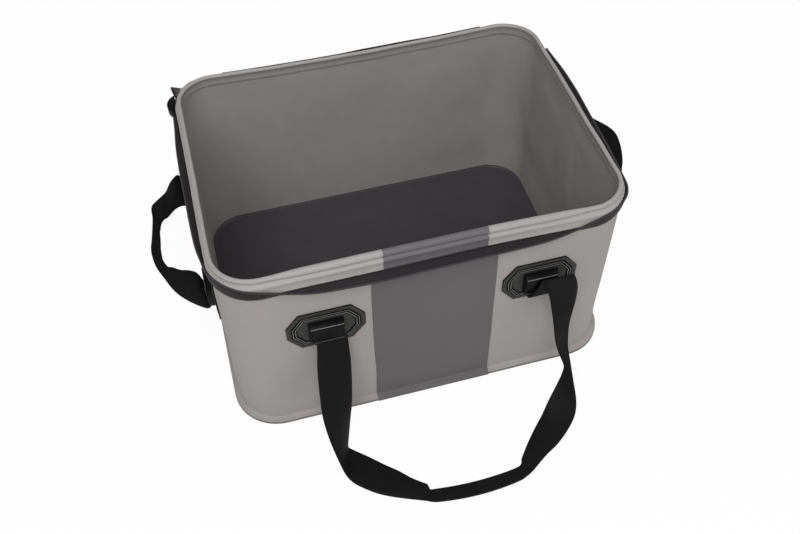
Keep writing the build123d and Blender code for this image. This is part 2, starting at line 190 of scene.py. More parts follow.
class Shader:
    """A material's node tree, with short calls for the nodes that the finishes share."""

    def __init__(self, name: str) -> None:
        """Start a material.

        Args:
            name: The material's name.
        """
        self.material = bpy.data.materials.new(name)
        self.material.use_nodes = True
        self.tree = self.material.node_tree
        self.surface = self.tree.nodes["Principled BSDF"]

    def node(self, kind: str, **values: object) -> bpy.types.Node:
        """Add a node.

        Args:
            kind: The node's type, such as ShaderNodeTexNoise.
            **values: Attributes of the node.

        Returns:
            The node.
        """
        made = self.tree.nodes.new(kind)
        for key, value in values.items():
            setattr(made, key, value)
        return made

    def link(self, source: bpy.types.NodeSocket, target: bpy.types.NodeSocket) -> None:
        """Join two sockets."""
        self.tree.links.new(source, target)

    def coordinates(self, output: str = "Object") -> bpy.types.NodeSocket:
        """Texture coordinates: Object, or UV for a pattern that follows a strip."""
        return self.node("ShaderNodeTexCoord").outputs[output]

    def noise(
        self, scale: float, detail: float = 3.0, vector: bpy.types.NodeSocket | None = None
    ) -> bpy.types.NodeSocket:
        """Noise pattern.

        Args:
            scale: Repeats in a metre.
            detail: Finer layers.
            vector: Coordinates, or None for Object.

        Returns:
            The noise's value.
        """
        pattern = self.node("ShaderNodeTexNoise")
        pattern.inputs["Scale"].default_value = scale
        pattern.inputs["Detail"].default_value = detail
        self.link(vector or self.coordinates(), pattern.inputs["Vector"])
        return pattern.outputs["Fac"]

    def wave(
        self, vector: bpy.types.NodeSocket, scale: float, distortion: float = 0.0
    ) -> bpy.types.NodeSocket:
        """Ribs across the first axis of a pattern.

        Args:
            vector: Coordinates.
            scale: The wave node's scale.
            distortion: How uneven the ribs are.

        Returns:
            The rib's height.
        """
        pattern = self.node("ShaderNodeTexWave", wave_type="BANDS", bands_direction="X")
        pattern.inputs["Scale"].default_value = scale
        pattern.inputs["Distortion"].default_value = distortion
        self.link(vector, pattern.inputs["Vector"])
        return pattern.outputs["Fac"]

    def combine(
        self, operation: str, a: bpy.types.NodeSocket, b: bpy.types.NodeSocket | float
    ) -> bpy.types.NodeSocket:
        """Arithmetic on two values.

        Args:
            operation: The Math node's operation.
            a: First value.
            b: Second value, a socket or a number.

        Returns:
            The result.
        """
        made = self.node("ShaderNodeMath", operation=operation)
        self.link(a, made.inputs[0])
        if isinstance(b, bpy.types.NodeSocket):
            self.link(b, made.inputs[1])
        else:
            made.inputs[1].default_value = b
        return made.outputs[0]

    def remap(self, value: bpy.types.NodeSocket, low: float, high: float) -> bpy.types.NodeSocket:
        """Spread a pattern from 0.3..0.7 to low..high.

        Args:
            value: The pattern.
            low: Result where the pattern is low.
            high: Result where it is high.

        Returns:
            The spread value.
        """
        made = self.node("ShaderNodeMapRange")
        made.inputs["From Min"].default_value = 0.3
        made.inputs["From Max"].default_value = 0.7
        made.inputs["To Min"].default_value = low
        made.inputs["To Max"].default_value = high
        self.link(value, made.inputs["Value"])
        return made.outputs["Result"]

    def mean(self, a: bpy.types.NodeSocket, b: bpy.types.NodeSocket) -> bpy.types.NodeSocket:
        """Mean of two patterns."""
        return self.combine("MULTIPLY", self.combine("ADD", a, b), 0.5)

    def mottle(
        self, pattern: bpy.types.NodeSocket, colour: Sequence[float], darker: float, lighter: float
    ) -> bpy.types.NodeSocket:
        """Colour that a pattern makes darker and lighter.

        Args:
            pattern: The pattern.
            colour: The plain colour.
            darker: Its factor where the pattern is low.
            lighter: Its factor where the pattern is high.

        Returns:
            The mottled colour.
        """
        ramp = self.node("ShaderNodeValToRGB")
        for element, factor in zip(ramp.color_ramp.elements, (darker, lighter)):
            element.color = (*(channel * factor for channel in colour), 1.0)
        self.link(self.remap(pattern, 0.0, 1.0), ramp.inputs["Fac"])
        return ramp.outputs["Color"]

    def bump(self, height: bpy.types.NodeSocket, depth: float) -> bpy.types.NodeSocket:
        """Fine relief.

        Args:
            height: The pattern.
            depth: Its depth in metres.

        Returns:
            The surface's normal.
        """
        made = self.node("ShaderNodeBump")
        made.inputs["Strength"].default_value = 1.0
        made.inputs["Distance"].default_value = depth
        self.link(height, made.inputs["Height"])
        return made.outputs["Normal"]

    def set(self, **values: float | tuple[float, ...]) -> None:
        """Set the surface's plain values by socket name, with _ for a space."""
        for key, value in values.items():
            self.surface.inputs[key.replace("_", " ")].default_value = value

    def use(self, **sockets: bpy.types.NodeSocket) -> None:
        """Link the surface's sockets by name, with _ for a space."""
        for key, socket in sockets.items():
            self.link(socket, self.surface.inputs[key.replace("_", " ")])


@dataclass(frozen=True)
class SheetFinish:
    """Welded foam sheet: a matte skin with a fine grain and faint clouding."""

    name: str
    colour: tuple[float, float, float]
    roughness: float = 0.62
    grain_depth: float = 0.00008
    grain_scale: float = 900.0
    clouding: float = 0.06

    def material(self) -> bpy.types.Material:
        """The finish as a material.

        Returns:
            The material.
        """
        shader = Shader(self.name)
        scuffs = shader.noise(60.0, 6.0)
        clouds = shader.mean(shader.noise(7.0, 4.0), scuffs)
        shader.use(
            Base_Color=shader.mottle(clouds, self.colour, 1 - self.clouding, 1 + self.clouding),
            Roughness=shader.remap(scuffs, self.roughness - 0.06, self.roughness + 0.06),
            Normal=shader.bump(shader.noise(self.grain_scale, 2.0), self.grain_depth),
        )
        shader.set(Specular_IOR_Level=0.35)
        return shader.material


@dataclass(frozen=True)
class KnurledFinish:
    """Hem sheet pressed with a fine pebbled pattern."""

    name: str
    colour: tuple[float, float, float]
    roughness: float = 0.55
    spot_scale: float = 1040.0
    spot_depth: float = 0.00022

    def material(self) -> bpy.types.Material:
        """The finish as a material.

        Returns:
            The material.
        """
        shader = Shader(self.name)
        spots = shader.noise(self.spot_scale, 2.0)
        shader.use(
            Base_Color=shader.mottle(spots, self.colour, 0.88, 1.1),
            Normal=shader.bump(spots, self.spot_depth),
        )
        shader.set(Roughness=self.roughness, Specular_IOR_Level=0.4)
        return shader.material


@dataclass(frozen=True)
class WovenFinish:
    """Woven band: fine ribs across it, a slanting twill over them and a soft sheen."""

    name: str
    colour: tuple[float, float, float]
    rib_pitch: float = 1.1
    yarn_pitch: float = 1.5
    yarn_slant: float = 62.0
    depth: float = 0.00018
    roughness: float = 0.5
    specular: float = 0.2
    wear: float = 0.35

    def material(self) -> bpy.types.Material:
        """The finish as a material.

        Returns:
            The material.
        """
        shader = Shader(self.name)
        # A wave of scale 1 has 20 / (2 pi) ribs in a metre
        ribs_in_a_metre = 20.0 / math.tau
        along = shader.coordinates("UV")
        slanted = shader.node("ShaderNodeMapping")
        slanted.inputs["Rotation"].default_value = (0.0, 0.0, math.radians(self.yarn_slant))
        shader.link(along, slanted.inputs["Vector"])
        ribs = shader.wave(along, 1 / (self.rib_pitch * MM) / ribs_in_a_metre)
        yarns = shader.wave(slanted.outputs["Vector"], 1 / (self.yarn_pitch * MM) / ribs_in_a_metre, 0.4)
        weave = shader.mean(ribs, yarns)
        clouds = shader.noise(45.0, 5.0)
        shader.use(
            Base_Color=shader.mottle(shader.mean(weave, clouds), self.colour, 1 - self.wear, 1 + self.wear),
            Roughness=shader.remap(clouds, self.roughness - 0.08, self.roughness + 0.1),
            Normal=shader.bump(weave, self.depth),
        )
        shader.set(Specular_IOR_Level=self.specular)
        return shader.material


@dataclass(frozen=True)
class MouldedFinish:
    """Moulded plastic or metal: even colour with fine grain, from satin to pebbled."""

    name: str
    colour: tuple[float, float, float]
    roughness: float = 0.35
    grain_scale: float = 1500.0
    grain_depth: float = 0.00004
    metallic: float = 0.0
    specular: float = 0.5

    def material(self) -> bpy.types.Material:
        """The finish as a material.

        Returns:
            The material.
        """
        shader = Shader(self.name)
        smears = shader.noise(90.0, 4.0)
        shader.use(
            Base_Color=shader.mottle(smears, self.colour, 0.85, 1.15),
            Roughness=shader.remap(smears, self.roughness - 0.07, self.roughness + 0.07),
            Normal=shader.bump(shader.noise(self.grain_scale, 2.0), self.grain_depth),
        )
        shader.set(Metallic=self.metallic, Specular_IOR_Level=self.specular)
        return shader.material


@dataclass
class Finishes:
    """Every finish of the bag, made once."""

    made: dict[str, bpy.types.Material] = field(default_factory=dict)
    recipes: tuple = (
        SheetFinish("light_wall_sheet", (0.33, 0.308, 0.295)),
        SheetFinish("light_rolled_hem", (0.35, 0.334, 0.33), roughness=0.5, clouding=0.04),
        KnurledFinish("light_hem_welt", (0.35, 0.334, 0.325)),
        SheetFinish("dark_panel_sheet", (0.112, 0.105, 0.109), clouding=0.08),
        SheetFinish("dark_rolled_hem", (0.135, 0.122, 0.135), roughness=0.5, clouding=0.05),
        KnurledFinish("dark_hem_welt", (0.118, 0.107, 0.12), spot_depth=0.0004),
        SheetFinish("floor_sheet", (0.052, 0.046, 0.053), roughness=0.6, clouding=0.12),
        SheetFinish("base_sheet", (0.15, 0.145, 0.14)),
        SheetFinish("stiffening_board", (0.55, 0.54, 0.5), roughness=0.8),
        WovenFinish(
            "zip_tape_twill", (0.016, 0.0135, 0.0155), rib_pitch=0.9, yarn_pitch=1.1, depth=0.0001,
            specular=0.12,
        ),
        MouldedFinish("zip_coil_nylon", (0.035, 0.033, 0.037), roughness=0.35, specular=0.35),
        MouldedFinish("patch_smooth", (0.004, 0.004, 0.0043), grain_depth=0.00003, specular=0.09),
        MouldedFinish(
            "patch_pebbled", (0.028, 0.027, 0.026), roughness=0.5, grain_scale=420.0, grain_depth=0.0007,
            specular=0.25,
        ),
        # Painted highlight: light grey on the patches' thin ridges and on the bridges' top and bottom edges,
        # in place of the shine of the black plastic there
        MouldedFinish("patch_painted_ridge_highlight", (0.19, 0.187, 0.182), roughness=0.4, grain_scale=700.0, specular=0.4),
        WovenFinish("black_webbing", (0.0055, 0.0055, 0.0058), roughness=0.6, specular=0.12),
        MouldedFinish("black_metal", (0.03, 0.03, 0.032), roughness=0.28, metallic=0.6),
        MouldedFinish("pin_steel", (0.5, 0.5, 0.51), roughness=0.3, metallic=1.0),
        MouldedFinish("rod_plastic", (0.6, 0.6, 0.58), roughness=0.45),
    )

    def __post_init__(self) -> None:
        """Make the materials."""
        for recipe in self.recipes:
            self.made[recipe.name] = recipe.material()

    def __getitem__(self, name: str) -> bpy.types.Material:
        """The material of that name."""
        return self.made[name]


def circle(sides: int, radius: float = 1.0, out: float = 0.0, up: float = 0.0) -> list[tuple[float, float]]:
    """Points (out, up) round a circle about a middle."""
    turns = [math.tau * side / sides for side in range(sides)]
    return [(out + radius * math.cos(turn), up + radius * math.sin(turn)) for turn in turns]


def new_object(name: str, data: bpy.types.ID) -> bpy.types.Object:
    """Add an object to the scene.

    Args:
        name: The object's name.
        data: Its mesh, camera or light.

    Returns:
        The object.
    """
    made = bpy.data.objects.new(name, data)
    bpy.context.scene.collection.objects.link(made)
    return made


def close_holes(bm: bmesh.types.BMesh) -> None:
    """Close every open loop of edges with a face."""
    bmesh.ops.holes_fill(bm, edges=[edge for edge in bm.edges if edge.is_boundary], sides=0)


def new_verts(made: dict) -> list[bmesh.types.BMVert]:
    """The vertices among what a bmesh operator made."""
    return [item for item in made["geom"] if isinstance(item, bmesh.types.BMVert)]


def round_edges(bm: bmesh.types.BMesh, angle: float, offset: float, clamp: bool = False) -> None:
    """Bevel the edges that are sharper than an angle.

    Args:
        bm: The mesh.
        angle: The angle in degrees.
        offset: Width of the bevel.
        clamp: Whether bevels stop where they would meet.
    """
    limit = math.radians(angle)
    sharp = [edge for edge in bm.edges if edge.is_manifold and edge.calc_face_angle(0.0) > limit]
    bmesh.ops.bevel(
        bm, geom=sharp, offset=offset, segments=2, profile=0.5, affect="EDGES", material=-1,
        clamp_overlap=clamp,
    )


def swept_strip(
    columns: int,
    outline: Sequence[tuple[float, float]],
    place: Callable[[float, float, float], Vector],
    size: tuple[float, float],
    closed: bool = False,
) -> bmesh.types.BMesh:
    """Closed strip: a grid is bent so that its rows go once round an outline.

    Args:
        columns: Divisions along the strip.
        outline: Points (across, through) round the strip's section.
        place: Gives the place of (along, across, through), with along from 0 to 1.
        size: Length and width in metres, for patterns that follow the strip.
        closed: Whether the strip's end meets its start.

    Returns:
        The strip, with its ends closed.
    """
    rows = len(outline)
    bm = bmesh.new()
    uv = bm.loops.layers.uv.new("UVMap")
    bmesh.ops.create_grid(bm, x_segments=columns, y_segments=rows, size=0.5)
    spots = {}
    for vert in bm.verts:
        row = round((vert.co.y + 0.5) * rows) % rows
        spots[vert] = (vert.co.x + 0.5, outline[row])
    for face in bm.faces:
        for loop in face.loops:
            along, (across, _) = spots[loop.vert]
            loop[uv].uv = (along * size[0], across * size[1])
    for vert, (along, (across, through)) in spots.items():
        vert.co = place(along, across, through)
    bmesh.ops.remove_doubles(bm, verts=bm.verts, dist=0.0005)
    if not closed:
        close_holes(bm)
    bmesh.ops.recalc_face_normals(bm, faces=bm.faces)
    return bm


def band_outline(across: int, edge: float) -> list[tuple[float, float]]:
    """Section of a flat band with rounded edges.

    Args:
        across: Divisions over its width.
        edge: Share of the width that each rounded edge takes.

    Returns:
        Points (across from 0 to 1, through from -1 to 1) round the section.
    """
    inner = [edge + (1 - 2 * edge) * i / across for i in range(across + 1)]
    top = [(share, 1.0) for share in inner]
    low = [(share, -1.0) for share in reversed(inner)]
    return [(0.0, -0.5), (0.0, 0.5), *top, (1.0, 0.5), (1.0, -0.5), *low]


@dataclass
class Workshop:
    """Turns meshes into pieces of the bag."""

    finishes: Finishes
    made: int = 0

    def piece(
        self,
        name: str,
        bm: bmesh.types.BMesh,
        finish: str | Sequence[str],
        slot: Slot,
        replaced: Sequence[str],
        body: Body | None = Body.ROOT,
        sharp: float = 40.0,
    ) -> bpy.types.Object:
        """Finish a mesh as an object in metres.

        Args:
            name: The piece's name.
            bm: Its mesh in millimetres, which is used up.
            finish: Name of its finish, or names by material index.
            slot: The record's material slot; not used.
            replaced: Frame nodes that it stands for.
            body: Body that it rides on, or None where it rides on none.
            sharp: Angle in degrees past which an edge stays sharp.

        Returns:
            The object.
        """
        bmesh.ops.scale(bm, vec=(MM, MM, MM), verts=bm.verts)
        for face in bm.faces:
            face.smooth = True
        for edge in bm.edges:
            if len(edge.link_faces) == 2 and edge.calc_face_angle(0.0) > math.radians(sharp):
                edge.smooth = False
        mesh = bpy.data.meshes.new(name)
        bm.to_mesh(mesh)
        bm.free()
        for each in [finish] if isinstance(finish, str) else finish:
            mesh.materials.append(self.finishes[each])
        made = new_object(name, mesh)
        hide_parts(*replaced)
        if body:
            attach(made, body.value)
        self.made += 1
        LOG.info("piece %s: %d faces", name, len(mesh.polygons))
        return made


@dataclass(frozen=True)
class Plan:
    """The bag's outline from above, at the outer face of its walls."""

    half_width: float = 200.0
    half_depth: float = 150.0
    corner: float = 42.0
    zip_short: float = 3.0

    @property
    def flat_x(self) -> float:
        """Half the straight stretch of the front."""
        return self.half_width - self.corner

    @property
    def flat_y(self) -> float:
        """Half the straight stretch of an end wall."""
        return self.half_depth - self.corner

    @property
    def bend(self) -> float:
        """Length of one corner's arc."""
        return self.corner * math.pi / 2

    @property
    def zip_reach(self) -> float:
        """Distance along the outline from the front's middle to an end of the zip."""
        return self.flat_x + self.bend + 2 * self.flat_y - self.zip_short

    @property
    def length(self) -> float:
        """Length of the whole outline."""
        return 4 * (self.flat_x + self.flat_y + self.bend)

    def at(self, along: float) -> tuple[Vector, Vector]:
        """Point of the outline, going clockwise from the middle of the rear wall.

        Args:
            along: Distance along the outline.

        Returns:
            The point and the outward direction there.
        """
        spot = Vector((0.0, self.half_depth, 0.0))
        ahead = Vector((1.0, 0.0, 0.0))
        left = along % self.length
        runs = (self.flat_x, 2 * self.flat_y, 2 * self.flat_x, 2 * self.flat_y, self.flat_x)
        for index, run in enumerate(runs):
            if left <= run or index == len(runs) - 1:
                return spot + ahead * left, Vector((-ahead.y, ahead.x, 0.0))
            spot = spot + ahead * run
            left -= run
            centre = spot + Vector((ahead.y, -ahead.x, 0.0)) * self.corner
            angle = min(left, self.bend) / self.corner
            turn = Matrix.Rotation(-angle, 3, "Z")
            spot = centre + turn @ (spot - centre)
            ahead = turn @ ahead
            if left <= self.bend:
                return spot, Vector((-ahead.y, ahead.x, 0.0))
            left -= self.bend
        return spot, Vector((-ahead.y, ahead.x, 0.0))

    def spot(self, along: float, out: float, up: float) -> Vector:
        """Point out from the wall's outer face.

        Args:
            along: Distance along the outline.
            out: Distance outward from the wall.
            up: Height above the ground.

        Returns:
            The point.
        """
        point, outward = self.at(along)
        return point + outward * out + Vector((0.0, 0.0, up))

    def drawn_in(self, along: float, edge: float, reach: float, up: float) -> Vector:
        """Point of a flat sheet, drawn in evenly from its edge.

        Args:
            along: Share of the way round.
            edge: Distance of its edge out from the wall.
            reach: The point's own distance out from the wall.
            up: Height.

        Returns:
            The point.
        """
        spot = self.spot(along * self.length, edge, 0.0)
        share = 1 - (edge - reach) / (self.half_depth + edge)
        return Vector((spot.x * share, spot.y * share, up))

    def middle(self, x: float) -> float:
        """1 in the middle of the front or the rear, easing to 0 at its ends."""
        return 1 - min(abs(x) / self.half_width, 1.0) ** 2

    def along_front(self, x: float) -> float:
        """Distance along the outline of a place on the front wall."""
        return self.length / 2 - x


@dataclass(frozen=True)
class SoftShape:
    """How the soft walls depart from a true box."""

    plan: Plan
    rim_height: float = 230.0
    front_lift: float = 3.4
    rear_sag: float = 5.4
    settle_from: float = 130.0
    dent: float = 1.1
    dent_length: float = 95.0
    calm_height: tuple[float, float] = (112.0, 176.0)
    stiff_foot: tuple[float, float] = (8.0, 60.0)
    stiff_top: tuple[float, float] = (190.0, 215.0)
    top_calm: float = 0.6
    calm_fade: tuple[float, float] = (45.0, 20.0)
    patch_middles: tuple[float, float] = (107.0, 70.0)
    patch_fade: tuple[float, float] = (42.0, 60.0)

    def settle(self, point: Vector) -> Vector:
        """Move a point of the box to where the soft wall has it.

        Args:
            point: Place on or near a true wall.

        Returns:
            The settled place.
        """
        rise = smooth_step(self.settle_from, self.rim_height, point.z)
        middle = self.plan.middle(point.x)
        front = smooth_step(0.0, self.plan.half_depth, -point.y)
        rear = smooth_step(0.0, self.plan.half_depth, point.y)
        lift = middle * rise * (self.front_lift * front - self.rear_sag * rear)
        low = smooth_step(*self.stiff_foot, point.z)
        high = 1 - self.top_calm * smooth_step(*self.stiff_top, point.z)
        bottom, top = self.calm_height
        below, above = self.calm_fade
        calm = smooth_step(bottom - below, bottom, point.z) * (1 - smooth_step(top, top + above, point.z))
        strength = self.dent * low * high * (1 - calm * self.patch_nearness(point))
        where = point / self.dent_length
        push = Vector((noise.noise(where), noise.noise(where + Vector((9.0, 3.0, 5.0))), 0.0))
        return point + push * 2 * strength + Vector((0.0, 0.0, lift))

    def patch_nearness(self, point: Vector) -> float:
        """1 beside the handle patches, easing to 0 between them.

        Args:
            point: A place near a wall.

        Returns:
            The nearness.
        """
        long_wall = abs(point.y) > self.plan.flat_y + 5
        at, patch = (point.x, self.patch_middles[0]) if long_wall else (point.y, self.patch_middles[1])
        return 1 - smooth_step(*self.patch_fade, abs(abs(at) - patch))

    def spot(self, along: float, out: float, up: float) -> Vector:
        """Settled point out from the wall, at a distance along the outline."""
        return self.settle(self.plan.spot(along, out, up))

    def around(self, share: float, out: float, up: float) -> Vector:
        """Settled point out from the wall, at a share of the way round."""
        return self.spot(share * self.plan.length, out, up)


@dataclass
class WallPart:
    """What the parts that follow the soft walls are built with."""

    shop: Workshop
    plan: Plan
    shape: SoftShape


@dataclass
class Box(WallPart):
    """Walls, welded foot, base sheet, floor liner and the dark front panel."""

    wall: float = 2.2
    wall_top: float = 221.0
    base: float = 3.0
    base_out: float = 6.4
    base_edge: float = 0.8
    foot_out: float = 5.6
    foot_rise: float = 4.3
    floor_low: float = 5.0
    floor_high: float = 6.5
    panel_left: float = -59.5
    panel_right: float = 64.5
    panel_out: float = 0.8
    panel_low: float = 0.8
    panel_high: float = 206.0
    panel_straight: float = 18.0
    floor_swell: float = 0.5
    floor_wave: float = 60.0

    def wall_section(self) -> list[tuple[float, float]]:
        """Points (out, up) round the wall and its welded foot.

        Returns:
            The section's points.
        """
        foot = [
            (-self.wall, self.base),
            (self.foot_out, self.base),
            (self.foot_out + 0.5, (self.base + self.foot_rise) / 2),
            (self.foot_out, self.foot_rise),
            (3.0, self.foot_rise + 0.1),
            (1.4, self.foot_rise + 0.6),
            (0.4, self.foot_rise + 1.8),
            (0.0, self.foot_rise + 4.0),
        ]
        start = self.foot_rise + 4.0
        steps = 36
        rise = [start + (self.wall_top - start) * i / steps for i in range(1, steps + 1)]
        outer = [(0.0, up) for up in rise]
        inner = [(-self.wall, up) for up in reversed(rise)]
        return [*foot, *outer, *inner]

    def build_walls(self) -> None:
        """Soft walls round the bag, with the dents of a soft sheet."""
        size = (self.plan.length * MM, MM)
        bm = swept_strip(250, self.wall_section(), self.shape.around, size, closed=True)
        self.shop.piece("walls", bm, "light_wall_sheet", Slot.LIGHT_SHEET, ["wall_shell"])

    def build_base(self) -> None:
        """Base sheet with rounded edges, whose welded lip shows round the foot."""
        out, high, edge = self.base_out, self.base, self.base_edge
        outline = [(out - edge, 0.0), (out, edge * 0.6), (out, high - edge * 0.6), (out - edge, high)]
        insets = [8.0, 30.0, 70.0, 110.0, self.plan.half_depth + out]
        upper = [(out - inset, high) for inset in insets]
        lower = [(out - inset, 0.0) for inset in reversed(insets)]

        def place(along: float, reach: float, up: float) -> Vector:
            """Point drawn in evenly from the outline.

            Args:
                along: Share of the way along.
                reach: Distance out from the outline.
                up: Height.

            Returns:
                The point.
            """
            share = 1 + min(reach, 0.0) / self.plan.half_depth
            flat = self.plan.spot(along * self.plan.length, max(reach, 0.0), up)
            return Vector((flat.x * share, flat.y * share, up))

        bm = swept_strip(180, [*outline, *upper, *lower], place, (1.0, MM), closed=True)
        self.shop.piece("base", bm, "base_sheet", Slot.BASE_SHEET, ["base_sheet"])

    def build_floor(self) -> None:
        """Floor liner, turned up a little at its edge."""
        inset = -self.wall - 0.1
        low, high, middle = self.floor_low, self.floor_high, self.plan.half_depth
        outline = [(inset, low), (inset, high + 1.6), (inset - 0.9, high + 1.7)]
        fillet = [(inset - 1.3, high + 0.8), (inset - 2.6, high + 0.2)]
        upper = [(-reach, high) for reach in (4.5, 12.0, 25.0, 45.0, 65.0, 85.0, 105.0, 125.0, middle)]
        lower = [(-middle, low), (-70.0, low)]

        def place(along: float, reach: float, up: float) -> Vector:
            """Point drawn in evenly from the wall's inner face, on a floor that isn't quite flat.

            Args:
                along: Share of the way along.
                reach: Distance out from the outline.
                up: Height.

            Returns:
                The point.
            """
            flat = self.plan.drawn_in(along, inset, reach, up)
            if up == high:
                flat.z += self.floor_swell * noise.noise(flat / self.floor_wave)
            return flat

        bm = swept_strip(160, [*outline, *fillet, *upper, *lower], place, (1.0, MM), closed=True)
        self.shop.piece("floor", bm, "floor_sheet", Slot.FLOOR_SHEET, ["floor_liner"])

    def build_panel(self) -> None:
        """Dark panel welded down the middle of the front and over its foot."""
        width = self.panel_right - self.panel_left
        rise = self.panel_high - self.panel_low
        half = self.panel_out / 2
        foot = [(6.9, 0.8), (6.9, 2.4), (6.4, 4.4), (4.6, 5.2), (2.6, 5.9), (1.2, 7.6), (0.6, 11.0)]
        steps = 20
        low = self.panel_straight
        upright = [(0.02 + half, low + (self.panel_high - low) * i / steps) for i in range(steps + 1)]
        line = [Vector(point) for point in (*foot, *upright)]

        def place(along: float, across: float, through: float) -> Vector:
            """Point of the panel, which follows the foot and then the wall."""
            spot = beside(line, along, -half * through)
            return self.shape.spot(self.plan.along_front(self.panel_left + width * across), spot.x, spot.y)

        bm = swept_strip(3 * len(line), band_outline(24, 0.004), place, (rise * MM, width * MM))
        self.shop.piece("front_panel", bm, "dark_panel_sheet", Slot.DARK_SHEET, ["front_centre_panel"])

    def build(self) -> None:
        """Build every piece of the box."""
        self.build_walls()
        self.build_base()
        self.build_floor()
        self.build_panel()


@dataclass
class Rim(WallPart):
    """Rolled hem round the top: light all round, dark in the middle of the front."""

    bead_out: float = -2.5
    bead_up: float = 226.5
    bead_radius: float = 3.5
    rod_radius: float = 1.7
    foot: float = 209.0
    inner_foot: float = 216.0
    welt: float = 1.2
    wall: float = 2.2
    wall_top: float = 221.5
    crease_up: float = 222.7
    slim: float = 0.62
    dark_left: float = -49.0
    dark_right: float = 54.0
    wobble: float = 0.35
    wobble_length: float = 38.0
    crinkle: tuple[float, float] = (14.0, 9.0)
    column: float = 4.5
    front_band: tuple[float, float] = (136.0, 150.0)
    front_fade: tuple[float, float] = (118.0, 156.0)

    def section(self, extra: float) -> list[tuple[float, float]]:
        """Points (out, up) round the hem, from its outer foot over the bead to its inner foot.

        Args:
            extra: How much thicker than the plain hem it is.

        Returns:
            The section's points.
        """
        face, foot, inner_foot = self.welt + extra, self.foot, self.inner_foot
        outer = [
            (0.05, foot), (face + 0.35, foot + 0.1), (face + 0.65, foot + 0.7), (face + 0.3, foot + 1.5),
            (face - 0.1, foot + 2.4), (face - 0.1, foot + 6.0), (face + 0.25, foot + 8.6),
            (face + 0.75, foot + 10.2), (face + 0.7, foot + 11.4), (face - 0.1, foot + 12.4),
            (-0.7, foot + 13.0), (-1.3, foot + 13.6),
        ]
        radius = self.bead_radius + extra * 0.3
        turns = [math.radians(-58 + 281 * step / 15) for step in range(16)]
        bead = [(self.bead_out + radius * math.cos(a), self.bead_up + radius * math.sin(a)) for a in turns]
        inner = -self.wall - self.welt
        inside = [
            (inner - 0.2, self.bead_up - 4.6), (inner, inner_foot + 2.0), (inner - 0.15, inner_foot + 0.6),
            (inner + 0.2, inner_foot), (-self.wall - 0.05, inner_foot),
        ]
        cavity = [(-self.wall - 0.05, self.wall_top), (-1.9, self.wall_top + 0.1)]
        return [*outer, *bead, *inside, *cavity]

    def slimmed(self, at: float, out: float, up: float) -> tuple[float, float]:
        """Draw the bead in away from the front, where it is rolled tighter.

        Args:
            at: Distance along the outline.
            out: Distance out from the wall.
            up: Height.

        Returns:
            The point (out, up) of the slimmer bead.
        """
        point, _ = self.plan.at(at)
        front = smooth_step(*self.front_band, -point.y) * (1 - smooth_step(*self.front_fade, abs(point.x)))
        share = self.slim + (1 - self.slim) * front
        if up < self.crease_up:
            return out, up
        low = self.bead_up + 0.5
        return self.bead_out + (out - self.bead_out) * share, low + (up - self.bead_up - 0.5) * share

    def stretch(self, tone: str, node: str, slot: Slot, start: float, end: float, extra: float) -> None:
        """One stretch of the hem.

        Args:
            tone: Light or dark, as its finishes and its piece are named.
            node: Frame node that it stands for.
            slot: The record's material slot.
            start: Where it starts along the outline.
            end: Where it ends.
            extra: How much thicker than the plain hem it is.
        """
        length = end - start

        def place(along: float, out: float, up: float) -> Vector:
            """Point of the hem, a little uneven.

            Args:
                along: Share of the way along.
                out: Distance out from the wall.
                up: Height.

            Returns:
                The point.
            """
            at = start + length * along
            ripple = self.wobble * noise.noise(Vector((at / self.wobble_length, 2.0, 0.0)))
            fine = Vector((at / self.crinkle[0], up / self.crinkle[1], 7.0))
            ripple += 0.5 * self.wobble * noise.noise(fine)
            out, up = self.slimmed(at, out, up)
            return self.shape.spot(at, out + ripple, up + ripple * 0.5)

        bm = swept_strip(max(int(length / self.column), 20), self.section(extra), place, (length * MM, MM))
        for face in bm.faces:
            middle = face.calc_center_median()
            across = self.depth_of(middle)
            if len(face.verts) == 4 and self.foot + 2.0 < middle.z < self.crease_up and across > 0:
                face.material_index = 1
            elif middle.z < self.crease_up and across < 0:
                face.material_index = 2
        finishes = (f"{tone}_rolled_hem", f"{tone}_hem_welt", "light_wall_sheet")
        self.shop.piece(f"rim_{tone}", bm, finishes, slot, [node], sharp=55)

    def depth_of(self, point: Vector) -> float:
        """How far a point lies out from the middle of the wall's thickness.

        Args:
            point: A place on the hem.

        Returns:
            The distance.
        """
        plan = self.plan
        x, y = abs(point.x), abs(point.y)
        if x > plan.flat_x and y > plan.flat_y:
            return math.hypot(x - plan.flat_x, y - plan.flat_y) - plan.corner + self.wall / 2
        return max(x - plan.half_width, y - plan.half_depth) + self.wall / 2

    def build(self) -> None:
        """Build the hem and the round rod inside its bead."""
        left = self.plan.along_front(self.dark_left)
        right = self.plan.along_front(self.dark_right)
        light_end = right + self.plan.length + 1.5
        self.stretch("light", "rim_hem_light", Slot.LIGHT_PIPING, left - 1.5, light_end, 0.3)
        self.stretch("dark", "rim_hem_centre", Slot.DARK_SHEET, right - 1.0, left + 1.0, 0.0)
        ring = circle(10, self.rod_radius, self.bead_out, self.bead_up)
        bm = swept_strip(200, ring, self.shape.around, (1.0, MM), closed=True)
        self.shop.piece("rim_core", bm, "rod_plastic", Slot.ROD, ["rim_rod"])


